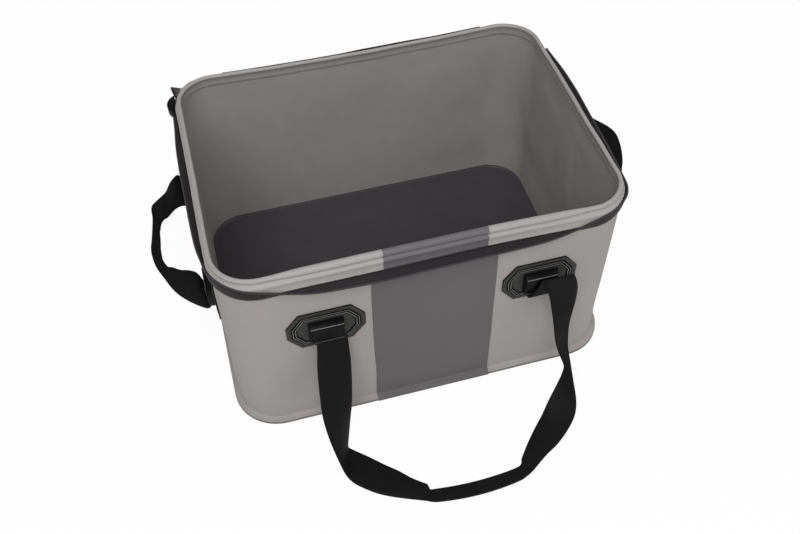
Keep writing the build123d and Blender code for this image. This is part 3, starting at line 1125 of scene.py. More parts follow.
@dataclass
class BodyZip(WallPart):
    """Zip tape and coil round three sides of the bag, with the end cap at its left end."""

    thickness: float = 0.8
    cap_reach: float = 6.0
    cap_radius: float = 16.0
    cap_shift: float = 3.0
    cap_proud: float = 2.0
    cap_steps: tuple = ((1.2, 0.0), (0.6, -0.7), (1.6, 0.0), (0.5, 0.5))
    weld_out: float = 0.5
    weld_drop: float = 5.5
    weld_share: float = 0.25
    arch: float = 0.10
    smoothing: tuple[float, ...] = (-12.0, -8.0, -4.0, 0.0, 4.0, 8.0, 12.0)
    # Rows: distance from the front's middle, height of the tape's root, then how far out and
    # how high its edge lies
    left_rows: tuple = (
        (0, 209.5, 11.6, 204.6), (60, 209.5, 11.4, 204.4), (110, 209.5, 9.2, 204.6), (132, 209.3, 5.6, 206.4),
        (146, 209.3, 4.2, 210), (160, 209.3, 3.9, 215), (180, 209.3, 3.9, 220.2), (208, 209.3, 4, 221.8),
        (228, 209.5, 5.4, 216.5), (255, 209.8, 9, 207), (290, 209.5, 10.2, 206.3), (360, 209.5, 11.2, 205),
        (400, 210, 10.5, 206), (437, 212, 7, 208),
    )
    right_rows: tuple = (
        (0, 209.5, 11.6, 204.6), (60, 209.5, 11.4, 204.4), (110, 209.5, 8.8, 204.8), (134, 209.3, 5, 206.8),
        (148, 209.3, 4, 210.5), (165, 209.3, 3.9, 216.5), (188, 209.5, 4.1, 220.4), (206, 210, 6, 215.5),
        (224, 210.5, 9.6, 211.5), (255, 210.8, 12.6, 209.8), (290, 211, 14.2, 210.5), (360, 212, 15.4, 212),
        (400, 213, 14, 213), (437, 214, 9.6, 214.4),
    )

    def offset(self, along: float) -> float:
        """Distance from the front's middle at a share of the way, from the right end to the left cap."""
        return (2 * self.plan.zip_reach + self.cap_reach) * along - self.plan.zip_reach

    def row(self, offset: float) -> list[float]:
        """Root height, edge reach and edge height at a distance from the front's middle.

        Args:
            offset: Distance, positive towards the left side.

        Returns:
            The three values.
        """
        rows = self.left_rows if offset > 0 else self.right_rows
        near = [blend_values(rows, abs(offset) + step) for step in self.smoothing]
        return [sum(values) / len(near) for values in zip(*near)]

    def spine(self, offset: float, share: float) -> tuple[float, float]:
        """Point (out, up) of the tape's middle line.

        Args:
            offset: Distance from the front's middle.
            share: 0 at the welded foot, 1 at the free edge.

        Returns:
            The point.
        """
        root_up, edge_out, edge_up = self.row(offset)
        edge_out -= min(1.0, max(edge_out - 4.0, 0.0) * 0.5)
        root_out = min(2.9, edge_out - 0.3)
        weld, foot_out = self.weld_share, self.weld_out
        if share < weld:
            drop = (weld - share) / weld
            return foot_out + (root_out - foot_out) * (1 - drop), root_up - self.weld_drop * drop
        t = (share - weld) / (1 - weld)
        arch = math.sin(t * math.pi) * (self.arch * (edge_out - root_out))
        return root_out + (edge_out - root_out) * t, root_up + (edge_up - root_up) * t + arch

    def build_tape(self) -> None:
        """Tape that flares out from the wall."""
        def place(along: float, across: float, through: float) -> Vector:
            """Point of the tape, beside its middle line.

            Args:
                along: Share of the way along.
                across: Place over its width.
                through: Place through its thickness.

            Returns:
                The point.
            """
            offset = self.offset(along)
            out, up = self.spine(offset, across)
            nearby = self.spine(offset, min(across + 0.02, 1.0))
            before = self.spine(offset, max(across - 0.02, 0.0))
            ahead = Vector((nearby[0] - before[0], nearby[1] - before[1])).normalized()
            half = self.thickness / 2 * through
            return self.shape.spot(self.plan.length / 2 + offset, out - ahead.y * half, up + ahead.x * half)

        size = (2 * self.plan.zip_reach * MM, 0.016)
        bm = swept_strip(230, band_outline(10, 0.03), place, size)
        self.shop.piece("zip_tape_round_body", bm, "zip_tape_twill", Slot.ZIP_TAPE, ["zip_tape_body"])

    def build_coil(self) -> None:
        """Coil along the tape's free edge, ridged by its turns."""
        turns = int(2 * self.plan.zip_reach / COIL_PITCH)

        def place(along: float, across: float, through: float) -> Vector:
            """Point of the coil, which swells at each turn.

            Args:
                along: Share of the way along.
                across: Place over its width.
                through: Place through its thickness.

            Returns:
                The point.
            """
            offset = self.offset(along)
            _, edge_out, edge_up = self.row(offset)
            swell = 1 + COIL_SWELL * math.cos(math.tau * turns * along)
            out = edge_out + COIL_RADIUS * (across * swell - 1.1)
            up = edge_up + COIL_RADIUS * through * swell
            return self.shape.spot(self.plan.length / 2 + offset, out, up)

        bm = swept_strip(turns * 4, circle(COIL_SIDES), place, (2 * self.plan.zip_reach * MM, MM))
        self.shop.piece("zip_coil_round_body", bm, "zip_coil_nylon", Slot.ZIP_COIL, ["zip_coil_body"])

    def build_cap(self) -> None:
        """Round end cap at the left rear corner, with a stepped face."""
        low, high = (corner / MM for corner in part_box("zip_end_cap_left"))
        radius = self.cap_radius
        bm = bmesh.new()
        top = bmesh.ops.create_circle(bm, cap_ends=True, segments=40, radius=radius)["verts"]
        centre = Vector((low.x + radius, (low.y + high.y) / 2 + self.cap_shift, high.z + self.cap_proud))
        bmesh.ops.translate(bm, vec=centre, verts=top)
        faces = list(bm.faces)
        for inset, sink in self.cap_steps:
            bmesh.ops.inset_region(bm, faces=faces, thickness=inset, depth=sink)
        rim = [edge for edge in bm.edges if edge.is_boundary]
        skirt = new_verts(bmesh.ops.extrude_edge_only(bm, edges=rim))
        bmesh.ops.translate(bm, vec=(0.0, 0.0, low.z - high.z), verts=skirt)
        close_holes(bm)
        bmesh.ops.bisect_plane(
            bm, geom=[*bm.verts, *bm.edges, *bm.faces], plane_co=(-self.plan.half_width - 1.3, 0, 0),
            plane_no=(1, 0, 0), clear_outer=True,
        )
        close_holes(bm)
        bmesh.ops.recalc_face_normals(bm, faces=bm.faces)
        round_edges(bm, 60, 0.7)
        self.shop.piece("zip_cap_left", bm, "patch_smooth", Slot.PATCH_PLASTIC, ["zip_end_cap_left"])

    def build(self) -> None:
        """Build the tape, the coil and the cap."""
        self.build_tape()
        self.build_coil()
        self.build_cap()


@dataclass
class Patch:
    """Moulded handle patch: a stepped octagon with a bridge that the webbing comes out of."""

    shop: Workshop
    length: float = 77.0
    height: float = 50.0
    cut_along: float = 13.0
    cut_up: float = 17.0
    centre_up: float = 145.0
    plate: float = 1.5
    bridge_width: float = 35.0
    bridge_low: float = 133.0
    bridge_high: float = 157.0
    bridge_out: float = 9.0
    bridge_base: float = 1.2
    bridge_taper: float = 0.93
    bridge_slope: float = 2.2
    mouth_depth: float = 16.0
    front_reach: float = 150.0
    end_reach: float = 200.0
    front_places: tuple[float, float] = (-105.0, 110.0)
    end_places: tuple[float, float] = (-70.0, 70.0)
    # Steps of the plate's face towards its middle: width, rise and material index; index 2 paints a light
    # highlight on a ridge
    steps: tuple = (
        (0.4, 0.4, 0), (4.4, 0.0, 1), (0.3, -0.9, 0), (0.8, 0.0, 0), (0.4, 1.5, 0), (0.7, 0.0, 2),
        (0.4, -1.2, 0), (1.1, 0.0, 0), (0.4, 1.4, 0), (0.7, 0.0, 2), (0.5, -1.3, 0), (0.9, 0.0, 0),
        (0.4, 0.5, 1),
    )

    def plate_mesh(self, bm: bmesh.types.BMesh) -> None:
        """Octagonal plate with stepped ridges, drawn as (along, up, out).

        Args:
            bm: Mesh that it is added to.
        """
        along, up = self.length / 2, self.height / 2
        spots = [
            (-along, -up + self.cut_up), (-along + self.cut_along, -up), (along - self.cut_along, -up),
            (along, -up + self.cut_up), (along, up - self.cut_up), (along - self.cut_along, up),
            (-along + self.cut_along, up), (-along, up - self.cut_up),
        ]
        verts = bmesh.ops.create_circle(bm, cap_ends=True, segments=8, radius=1.0)["verts"]
        for vert, (x, y) in zip(verts, spots):
            vert.co = Vector((x, y, 0.05))
        top = [face for face in bm.faces if verts[0] in face.verts]
        bmesh.ops.recalc_face_normals(bm, faces=top)
        if top[0].normal.z < 0:
            bmesh.ops.reverse_faces(bm, faces=top)
        lifted = bmesh.ops.extrude_face_region(bm, geom=top, use_keep_orig=True)
        bmesh.ops.translate(bm, vec=(0.0, 0.0, self.plate - 0.4), verts=new_verts(lifted))
        bmesh.ops.reverse_faces(bm, faces=top)
        face = [item for item in lifted["geom"] if isinstance(item, bmesh.types.BMFace)]
        for thickness, depth, index in self.steps:
            for each in bmesh.ops.inset_region(bm, faces=face, thickness=thickness, depth=depth)["faces"]:
                each.material_index = index
        for each in face:
            each.material_index = 1

    def bridge_mesh(self, bm: bmesh.types.BMesh) -> None:
        """Bridge over the webbing, open at its foot, drawn as (along, up, out).

        Args:
            bm: Mesh that it is added to.
        """
        low = self.bridge_low - self.centre_up
        high = self.bridge_high - self.centre_up
        base = self.bridge_base
        cube = bmesh.ops.create_cube(bm, size=1.0)["verts"]
        bmesh.ops.scale(bm, vec=(self.bridge_width, high - low, self.bridge_out - base), verts=cube)
        bmesh.ops.translate(bm, vec=(0.0, (low + high) / 2, (self.bridge_out + base) / 2), verts=cube)
        front = [face for face in bm.faces if face.normal.z > 0.9]
        mouth = [face for face in bm.faces if face.normal.y < -0.9]
        for vert in front[0].verts:
            vert.co.x *= self.bridge_taper
            if vert.co.y > 0:
                vert.co.y -= self.bridge_slope
        bmesh.ops.inset_region(bm, faces=mouth, thickness=1.5, depth=0.0)
        sunk = bmesh.ops.extrude_face_region(bm, geom=mouth)
        bmesh.ops.delete(bm, geom=mouth, context="FACES")
        bmesh.ops.translate(bm, vec=(0.0, self.mouth_depth, 0.0), verts=new_verts(sunk))
        border = bmesh.ops.inset_region(bm, faces=front, thickness=1.1, depth=0.3)["faces"]
        # The top and bottom strips of the border take index 2, a painted highlight along the bridge's edges
        for face in border:
            if abs(face.calc_center_median().y - (low + high) / 2) > (high - low) * 0.3:
                face.material_index = 2
        for thickness, depth in ((0.4, -0.9), (3.0, 0.0), (0.4, 0.3)):
            bmesh.ops.inset_region(bm, faces=front, thickness=thickness, depth=depth)

    def wall_plane(self, wall: Wall, along: float) -> Matrix:
        """Where a patch stands.

        Args:
            wall: Its wall.
            along: Its middle along the wall, as x or y of the bag.

        Returns:
            The matrix from (along, up, out) to the bag.
        """
        turns = {Wall.FRONT: 0.0, Wall.RIGHT: 90.0, Wall.REAR: 180.0, Wall.LEFT: 270.0}
        reach = self.front_reach if wall.long else self.end_reach
        upright = Matrix.Rotation(math.radians(90), 4, "X")
        turn = Matrix.Rotation(math.radians(turns[wall]), 4, "Z")
        side = turn @ Vector((0.0, -reach, 0.0))
        slide = Vector((along, 0.0, 0.0)) if wall.long else Vector((0.0, along, 0.0))
        spot = side + slide + Vector((0.0, 0.0, self.centre_up))
        return Matrix.Translation(spot) @ turn @ upright

    def build(self, wall: Wall) -> None:
        """Both patches of one wall.

        Args:
            wall: The wall.
        """
        # Index 2 paints the highlights of the ridges and of the bridges' edges
        finishes = ("patch_smooth", "patch_pebbled", "patch_painted_ridge_highlight")
        for kind, node, draw, bevel in (
            ("patches", "patch_plates", self.plate_mesh, 0.22),
            ("bridges", "patch_bridges", self.bridge_mesh, 0.55),
        ):
            bm = bmesh.new()
            for place in self.front_places if wall.long else self.end_places:
                one = bmesh.new()
                draw(one)
                bmesh.ops.transform(one, matrix=self.wall_plane(wall, place), verts=one.verts)
                bmesh.ops.recalc_face_normals(one, faces=one.faces)
                temporary = bpy.data.meshes.new("part")
                one.to_mesh(temporary)
                one.free()
                bm.from_mesh(temporary)
                bpy.data.meshes.remove(temporary)
            round_edges(bm, 25, bevel, clamp=True)
            name = f"{wall.value}_{kind}"
            self.shop.piece(name, bm, finishes, Slot.PATCH_PLASTIC, [f"{wall.value}_{node}"], sharp=35)


@dataclass(frozen=True)
class Ribbon:
    """Webbing through rows of numbers: outer edge, inner edge, how far it arches, and thickness."""

    rows: tuple
    width: float = 30.0
    thickness: float = 1.8
    across: int = 10
    steps_per_row: int = 5

    def mesh(self) -> bmesh.types.BMesh:
        """The webbing as a closed strip.

        Returns:
            The strip.
        """
        outer = [Vector(row[:3]) for row in self.rows]
        inner = [Vector(row[3:6]) for row in self.rows]
        plain = (0.0, self.thickness)
        forms = [Vector((*row[6:], *plain[len(row) - 6:])) for row in self.rows]
        last = len(self.rows) - 1
        middles = [(a + b) / 2 for a, b in zip(outer, inner)]
        length = sum((b - a).length for a, b in zip(middles, middles[1:]))

        def spot(at: float, across: float) -> Vector:
            """Point of the webbing's middle layer.

            Args:
                at: Place along the rows.
                across: Place over its width.

            Returns:
                The point.
            """
            at = min(max(at, 0.0), last)
            a, b = catmull(outer, at), catmull(inner, at)
            return a + (b - a) * across

        def place(along: float, across: float, through: float) -> Vector:
            """Point of the webbing, through its thickness.

            Args:
                along: Share of the way along.
                across: Place over its width.
                through: Place through its thickness.

            Returns:
                The point.
            """
            at = along * last
            arch, thickness = catmull(forms, at)
            ahead = spot(at + 0.15, across) - spot(at - 0.15, across)
            over = spot(at, min(across + 0.1, 1.0)) - spot(at, max(across - 0.1, 0.0))
            normal = ahead.cross(over).normalized()
            cup = arch * (1 - (2 * across - 1) ** 2)
            return spot(at, across) + normal * (thickness / 2 * through + cup)

        size = (length * MM, self.width * MM)
        return swept_strip(self.steps_per_row * last, band_outline(self.across, 0.02), place, size)


@dataclass
class Handle:
    """Webbing handle between the two patches of a wall."""

    shop: Workshop

    def dress(
        self, wall: Wall, kind: str, bm: bmesh.types.BMesh, start: Sequence[float], end: Sequence[float]
    ) -> None:
        """Finish the webbing as a piece that rides on no body.

        Args:
            wall: The wall.
            kind: Carry or grab, as the piece is named.
            bm: The webbing.
            start: Where it stops following the bag, in metres; not used.
            end: Where it follows its body alone, in metres; not used.
        """
        name = wall.value
        replaced = [f"{name}_handle_webbing", f"{name}_strap_ends"]
        made = self.shop.piece(
            f"{name}_{kind}_webbing", bm, "black_webbing", Slot.WEBBING, replaced, body=None
        )
        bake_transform(made)
        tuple(start)
        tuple(end)


@dataclass
class CarryHandle(Handle):
    """Webbing carry handle lying on the ground in front of its wall."""

    # From inside the left patch's bridge to inside the right patch's
    rows: tuple = (
        (-118, -154.9, 150, -89, -154.9, 150), (-117.5, -155.2, 138, -88, -155.2, 138),
        (-117, -156.6, 130, -86.5, -156.4, 130, 0.3), (-118, -161, 119, -86.5, -160, 118, 0.8),
        (-121, -170, 105, -87, -166, 104, 1), (-123.5, -183, 84, -89.5, -175.5, 80, 1),
        (-125, -197, 63, -93, -184.5, 56, 1), (-123, -211, 43, -98, -192.5, 35, 0.8),
        (-118.5, -225, 23, -102.5, -199.5, 16, 0.5), (-113.5, -236, 7, -104.5, -203, 4),
        (-107.5, -244, 1.6, -101, -206, 1.4), (-99, -252, 1.1, -87, -218.5, 1.1),
        (-89, -260, 1.1, -73, -232, 1.2, 0.4), (-77, -267, 1.1, -61, -243, 1.6, 0.6),
        (-64, -273, 1.1, -51, -254, 2.2, 0.8), (-51, -278.5, 1.2, -42, -262, 3, 0.6, 1.9),
        (-43, -282, 1.6, -37.5, -266, 3.4, 0, 2.4), (-38, -284.5, 2, -37, -271.5, 2.6, 0, 3.4),
        (-30, -286.5, 2.1, -30, -272.8, 2.1, 0.2, 3.7), (-10, -289, 2.1, -10, -274.8, 2.1, 0.2, 3.7),
        (12, -290, 2.1, 12, -275.6, 2.1, 0.2, 3.7), (35, -289, 2.1, 35, -274.8, 2.1, 0.2, 3.7),
        (54, -286.5, 2.1, 53, -273, 2.1, 0.2, 3.7), (63, -283.5, 2, 60, -270.5, 2.6, 0, 3.4),
        (70, -280, 1.8, 62.5, -265.5, 3.6, 0, 2.4), (78, -274.5, 1.3, 66.5, -260, 3, 0.5, 1.9),
        (90, -266.5, 1.1, 76, -248.5, 2.2, 0.9), (106, -257.5, 1.1, 88, -235.5, 2.6, 1.2),
        (121, -246, 1.1, 100, -224, 5, 1.2), (133, -234, 1.6, 111.5, -212.5, 12, 1),
        (140, -222, 5, 121.5, -204.5, 23, 0.6), (142, -211, 14, 129, -198.5, 34, 0.3),
        (140.5, -203, 30, 131, -195.5, 46), (138, -195, 50, 127, -194, 58, -0.4),
        (136, -187.5, 67, 123, -191, 71, -0.8), (135.9, -182.5, 84.4, 119.7, -188, 85.8, -0.8),
        (137.3, -178.5, 97.5, 118.8, -182, 100.6, -0.2), (140.5, -174.5, 109.7, 117.8, -177, 112.9, 0.4),
        (144, -170, 120.9, 117, -172.5, 122.3, 0.9), (145.7, -166.5, 133.8, 115.3, -168.5, 134.2, 1),
        (144.5, -164.5, 144.5, 112.7, -165.5, 144.1, 0.5), (141.3, -162.6, 153.7, 108.8, -163, 154.1, 0, 1.6),
        (141.5, -161.2, 147, 107, -161.4, 148), (136, -161.4, 137, 101, -162.2, 137),
        (130, -160.4, 130.8, 96.5, -161.3, 131.4), (126, -158.4, 132, 95.3, -158.6, 132.2, 0, 1.6),
        (125, -156.2, 138, 95, -156.2, 138), (125, -154.9, 150, 95, -154.9, 150),
    )

    def build(self, wall: Wall) -> None:
        """Build the handle of the front or the rear wall.

        Args:
            wall: The wall.
        """
        bm = Ribbon(self.rows).mesh()
        side = -1
        if wall is Wall.REAR:
            side = 1
            bmesh.ops.mirror(bm, geom=[*bm.verts, *bm.edges, *bm.faces], axis="Y", merge_dist=-1.0)
            bmesh.ops.delete(bm, geom=[vert for vert in bm.verts if vert.co.y < 0], context="VERTS")
            bmesh.ops.recalc_face_normals(bm, faces=bm.faces)
        self.dress(wall, "carry", bm, (0, side * 157.5 * MM, 0.134), (0, side * 162.0 * MM, 0.124))


@dataclass
class GrabHandle(Handle):
    """Webbing grab handle standing out from an end wall."""

    # From inside the rear patch's bridge to inside the front patch's
    left_rows: tuple = (
        (-204.9, 85, 150, -204.9, 55, 150), (-206.2, 85, 138, -206.2, 55, 138),
        (-208.4, 87, 132, -208.4, 56, 131), (-211.5, 91, 138, -212.5, 58, 131, 0.4),
        (-217, 91.5, 147, -219.5, 57.5, 133, 0.8), (-224.6, 84.5, 146.5, -226.6, 53.5, 133.5, 1.2),
        (-232, 79.5, 137.8, -234.8, 43.5, 134.6, 1.2), (-239.9, 72.2, 137, -238.2, 41, 135.5, 0.8),
        (-249.2, 64.5, 135.6, -241.5, 37.3, 135.6, 0.3, 2.2), (-251, 55.5, 135.4, -243.3, 33.5, 135.5, 0, 3),
        (-250.8, 46, 135.3, -244.2, 30, 135.4, 0, 3.6), (-252.6, 30, 135.2, -245.5, 24, 135.2, 0, 3.7),
        (-254.8, 14.8, 135.2, -246, 12.3, 135.2, 0.2, 3.7), (-257, 0, 135.2, -247, 0, 135.2, 0.2, 3.7),
        (-255.8, -16, 135.2, -246.8, -12, 135.2, 0.2, 3.7),
        (-252.8, -27.9, 135.3, -245.6, -19.5, 135.4, 0, 3.6),
        (-248.1, -40.1, 135.4, -242.3, -27, 135.8, 0, 2.8), (-243.3, -52.6, 135, -238, -31, 138.5, 0.5, 2),
        (-237.5, -63, 134, -230.5, -38, 140, 1), (-229, -73, 132.5, -222, -42, 141, 1.2),
        (-219, -81.5, 131, -215.5, -46, 140, 0.9), (-212, -86, 130.4, -211.5, -51.5, 135, 0.4),
        (-208.4, -86, 131.2, -208.4, -56, 131.2), (-206.2, -85, 138, -206.2, -55, 138),
        (-204.9, -85, 150, -204.9, -55, 150),
    )
    right_rows: tuple = (
        (204.9, 85, 150, 204.9, 55, 150), (206.2, 85, 138, 206.2, 55, 138),
        (208.4, 86, 131.2, 208.4, 56, 131.2), (213, 88.5, 130.5, 212.5, 57, 131, 0.4),
        (221, 87, 134, 219, 55, 133, 0.8), (230, 80, 139, 227, 50, 137, 1.2),
        (239, 70, 143.5, 235, 42, 141, 1), (246, 59, 147, 238, 33, 142, 0.5, 2),
        (250.5, 50, 149, 238, 27, 141.5, 0, 2.4), (254.5, 41, 150.5, 236.5, 22, 140.5, 0, 2.8),
        (261, 27, 152, 236, 14, 140, 0, 3), (263.5, 13, 153, 235.5, 5, 140, 0.4, 3),
        (261, -3, 153, 235, -4, 140, 0.4, 3), (257.5, -16, 152, 234.5, -12, 140, 0, 3),
        (253.5, -27, 150.5, 234, -18, 140, 0, 2.8), (248.5, -37, 148.5, 233, -23, 140, 0, 2.4),
        (243, -50, 145, 231.5, -31, 139.5, 0.5, 2), (235, -63, 141, 229.5, -38, 139.5, 1),
        (226, -74, 136.5, 221, -46, 136, 1.2), (217, -83, 132, 214, -52, 132.5, 0.8),
        (211.5, -86, 130.6, 210.5, -55, 131, 0.4), (208.4, -86, 131.2, 208.4, -56, 131.2),
        (206.2, -85, 138, 206.2, -55, 138), (204.9, -85, 150, 204.9, -55, 150),
    )

    def build(self, wall: Wall) -> None:
        """Build the handle of the left or the right wall.

        Args:
            wall: The wall.
        """
        side, rows = (-1, self.left_rows) if wall is Wall.LEFT else (1, self.right_rows)
        self.dress(wall, "grab", Ribbon(rows).mesh(), (side * 0.2075, 0, 0.133), (side * 0.2125, 0, 0.128))


@dataclass
class Lid:
    """Zipped lid, drawn shut and then turned back about its hinge line."""

    shop: Workshop
    plan: Plan
    hinge: Vector
    lean: float
    edge_out: float = -4.0
    under: float = 1.8
    face: float = 6.3
    piping_radius: float = 2.6
    piping_out: float = -2.8
    coil_out: float = 9.0
    coil_drop: float = 3.0
    strip_thickness: float = 0.9
    hinge_half: float = 147.0
    droop: float = 5.0
    pinch: float = 0.022
    rise: float = 3.6
    fall: float = 4.0
    middle_fall: float = 5.4
    fall_up: float = 0.68
    fall_in: float = 0.73
    fall_fade: tuple[float, float] = (8.0, 60.0)
    droop_start: tuple[float, float] = (8.0, 35.0)
    droop_end: tuple[float, float] = (110.0, 205.0)
    pinch_start: tuple[float, float] = (4.0, 30.0)
    pinch_end: tuple[float, float] = (150.0, 225.0)
    strip_sag: float = 7.2
    strip_ends: float = 5.4
    strip_rise: tuple[float, float] = (20.0, 60.0)
    strip_rise_at: float = 36.0
    stripe_left: float = -59.5
    stripe_right: float = 64.5
    stripe_half: float = 0.35
    tape_sag: float = 0.5
    tape_half: float = 0.4

    def relax(self, point: Vector) -> Vector:
        """Let a point of the shut lid hang as the soft lid does once it is open.

        Args:
            point: Place on the flat lid, shut.

        Returns:
            The relaxed place, shut.
        """
        away = self.hinge.y - point.y
        middle = self.plan.middle(point.x)
        drop = (self.fall + self.middle_fall * middle) * (1 - smooth_step(*self.fall_fade, away))
        sunk = self.droop * smooth_step(*self.droop_start, away) * (1 - smooth_step(*self.droop_end, away))
        narrow = self.pinch * smooth_step(*self.pinch_start, away) * (1 - smooth_step(*self.pinch_end, away))
        lift = self.fall_up * drop + sunk + self.front_rise(point)
        return point + Vector((-narrow * point.x, -self.fall_in * drop, lift))

    def front_rise(self, point: Vector) -> float:
        """How far the lid's front rises over the rim, which rises in the middle."""
        return self.rise * self.plan.middle(point.x) * smooth_step(0.0, self.plan.half_depth, -point.y)

    @property
    def turned_back(self) -> Matrix:
        """From the shut lid to the open lid."""
        turn = Matrix.Rotation(-math.radians(180 + self.lean), 4, "X")
        return Matrix.Translation(self.hinge) @ turn @ Matrix.Translation(-self.hinge)

    def dress(self, name: str, bm: bmesh.types.BMesh, finish: str, slot: Slot, node: str) -> None:
        """Turn a shut mesh back about the hinge line and make it a piece of the lid."""
        bmesh.ops.transform(bm, matrix=self.turned_back, verts=bm.verts)
        self.shop.piece(name, bm, finish, slot, [node], body=Body.LID)

    def build_panel(self) -> None:
        """Liner below, foam core between and light sheet above."""
        over = self.edge_out
        reaches = (8.0, 20.0, 45.0, 75.0, 105.0, 130.0, self.plan.half_depth + over)
        core_low, core_high = self.under + 1.0, self.face - 1.5

        def place(along: float, reach: float, up: float) -> Vector:
            """Point drawn in evenly from the lid's edge."""
            return self.relax(self.plan.drawn_in(along, over, reach, self.hinge.z + up))

        for name, low, high, finish, slot, node in (
            ("lid_inner_sheet", self.under, core_low, "light_wall_sheet", Slot.LIGHT_SHEET, "lid_liner"),
            ("lid_core", core_low, core_high, "stiffening_board", Slot.FOAM, "lid_foam_core"),
            ("lid_outer_sheet", core_high, self.face, "light_wall_sheet", Slot.LIGHT_SHEET, "lid_sheet"),
        ):
            edge = [(over - 0.4, low), (over, low + 0.3), (over, high - 0.3), (over - 0.4, high)]
            upper = [(over - reach, high) for reach in reaches]
            lower = [(over - reach, low) for reach in reversed(reaches)]
            bm = swept_strip(180, [*edge, *upper, *lower], place, (1.0, MM), closed=True)
            self.dress(name, bm, finish, slot, node)

    def build_stripe(self) -> None:
        """Dark stripe over the lid, in line with the front panel."""
        left, right = self.stripe_left, self.stripe_right
        front = -self.plan.half_depth - self.edge_out
        rear = self.plan.half_depth + self.edge_out

        def place(along: float, across: float, through: float) -> Vector:
            """Point of the stripe, on the lid's upper sheet.

            Args:
                along: Share of the way along.
                across: Place over its width.
                through: Place through its thickness.

            Returns:
                The point.
            """
            x, y = left + (right - left) * across, front + (rear - front) * along
            up = self.hinge.z + self.face + self.stripe_half + self.stripe_half * through
            return self.relax(Vector((x, y, up)))

        bm = swept_strip(40, band_outline(16, 0.004), place, ((rear - front) * MM, 0.124))
        self.dress("lid_stripe", bm, "dark_panel_sheet", Slot.DARK_SHEET, "lid_centre_panel")

    def build_edge(self) -> None:
        """Piping round the lid's edge, with the zip tape and coil under it."""
        middle = self.hinge.z + (self.under + self.face) / 2
        ring = circle(14, self.piping_radius, self.piping_out, middle)
        start = self.hinge_half + 0.3
        span = self.plan.length - 2 * start

        def place(along: float, out: float, up: float) -> Vector:
            """Point of the piping."""
            return self.relax(self.plan.spot(start + span * along, out, up))

        bm = swept_strip(260, ring, place, (span * MM, MM))
        self.dress("lid_rolled_edge", bm, "light_rolled_hem", Slot.LIGHT_PIPING, "lid_piping")
        self.build_zip(middle)

    def build_zip(self, middle: float) -> None:
        """Zip tape and coil that hang from the lid's edge.

        Args:
            middle: Height of the piping's middle.
        """
        reach = self.plan.zip_reach
        start = self.plan.length / 2 - reach
        root = Vector((self.piping_out + 0.6, middle - self.piping_radius * 0.8))
        coil_middle = Vector((self.coil_out, self.hinge.z - self.coil_drop))
        edge = Vector((self.coil_out - 1.2, self.hinge.z - self.coil_drop))
        turns = int(2 * reach / COIL_PITCH)

        def rim_line(along: float, end: Vector) -> Vector:
            """A line sewn in under the piping at its ends, and drawn in where the front rises.

            Args:
                along: Share of the way along.
                end: Where the line lies once grown.

            Returns:
                The point.
            """
            point, _ = self.plan.at(start + 2 * reach * along)
            grown = 0.1 + 0.9 * smooth_step(0.0, 14.0, 2 * reach * min(along, 1 - along))
            return root.lerp(end - Vector((0.92 * self.front_rise(point), 0.0)), grown)

        def tape_place(along: float, across: float, through: float) -> Vector:
            """Point of the tape, which sags a little.

            Args:
                along: Share of the way along.
                across: Place over its width.
                through: Place through its thickness.

            Returns:
                The point.
            """
            spot = root.lerp(rim_line(along, edge), across)
            ahead = (edge - root).normalized()
            sag = self.tape_sag * math.sin(math.pi * across) + self.tape_half * through
            out, up = spot.x - ahead.y * sag, spot.y + ahead.x * sag
            return self.relax(self.plan.spot(start + 2 * reach * along, out, up))

        def coil_place(along: float, across: float, through: float) -> Vector:
            """Point of the coil, which swells at each turn.

            Args:
                along: Share of the way along.
                across: Place over its width.
                through: Place through its thickness.

            Returns:
                The point.
            """
            swell = COIL_RADIUS * (1 + COIL_SWELL * math.cos(math.tau * turns * along))
            spot = rim_line(along, coil_middle)
            out, up = spot.x + across * swell, spot.y + through * swell
            return self.relax(self.plan.spot(start + 2 * reach * along, out, up))

        bm = swept_strip(200, band_outline(6, 0.04), tape_place, (2 * reach * MM, 0.012))
        self.dress("zip_tape_round_lid", bm, "zip_tape_twill", Slot.ZIP_TAPE, "zip_tape_lid")
        bm = swept_strip(turns * 4, circle(COIL_SIDES), coil_place, (2 * reach * MM, MM))
        self.dress("zip_coil_round_lid", bm, "zip_coil_nylon", Slot.ZIP_COIL, "zip_coil_lid")

    def build_hinge(self) -> None:
        """Tape that joins the lid to the rear wall and bends at the hinge line."""
        half = self.hinge_half
        rear = self.plan.half_depth + self.edge_out

        def place(along: float, across: float, through: float) -> Vector:
            """Point of the tape, up the wall, over the hinge line and down to the lid.

            Args:
                along: Share of the way along.
                across: Place over its width.
                through: Place through its thickness.

            Returns:
                The point.
            """
            x = -half + 2 * half * across
            sag = self.strip_sag - self.strip_ends * (x / self.plan.half_width) ** 2
            sag -= 1.0 * (1 - smooth_step(*self.strip_rise, abs(x - self.strip_rise_at)))
            lid_end = self.turned_back @ self.relax(Vector((x, rear + 0.2, self.hinge.z + self.under + 0.6)))
            path = [
                Vector((x, 151.9, 209.0)), Vector((x, 152.0, 215.0 - 0.5 * sag)),
                Vector((x, 152.6, 221.0 - sag)), Vector((x, 153.6, 224.6 - sag)),
                Vector((x, self.hinge.y + 0.8, 225.8 - sag)),
                lid_end.lerp(Vector((x, 156.6, 224.6 - sag)), 0.5), lid_end,
            ]
            last = len(path) - 1
            at = along * last
            ahead = catmull(path, min(at + 0.05, last)) - catmull(path, max(at - 0.05, 0.0))
            normal = Vector((0.0, -ahead.z, ahead.y)).normalized()
            return catmull(path, at) + normal * (self.strip_thickness / 2 * through)

        bm = swept_strip(24, band_outline(40, 0.002), place, (0.03, 2 * half * MM))
        replaced = ["hinge_tape", "lid_hinge_strip"]
        strip = self.shop.piece("lid_hinge_webbing", bm, "zip_tape_twill", Slot.ZIP_TAPE, replaced, body=None)
        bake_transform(strip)

    def build(self) -> None:
        """Build every piece of the lid."""
        self.build_panel()
        self.build_stripe()
        self.build_edge()
        self.build_hinge()


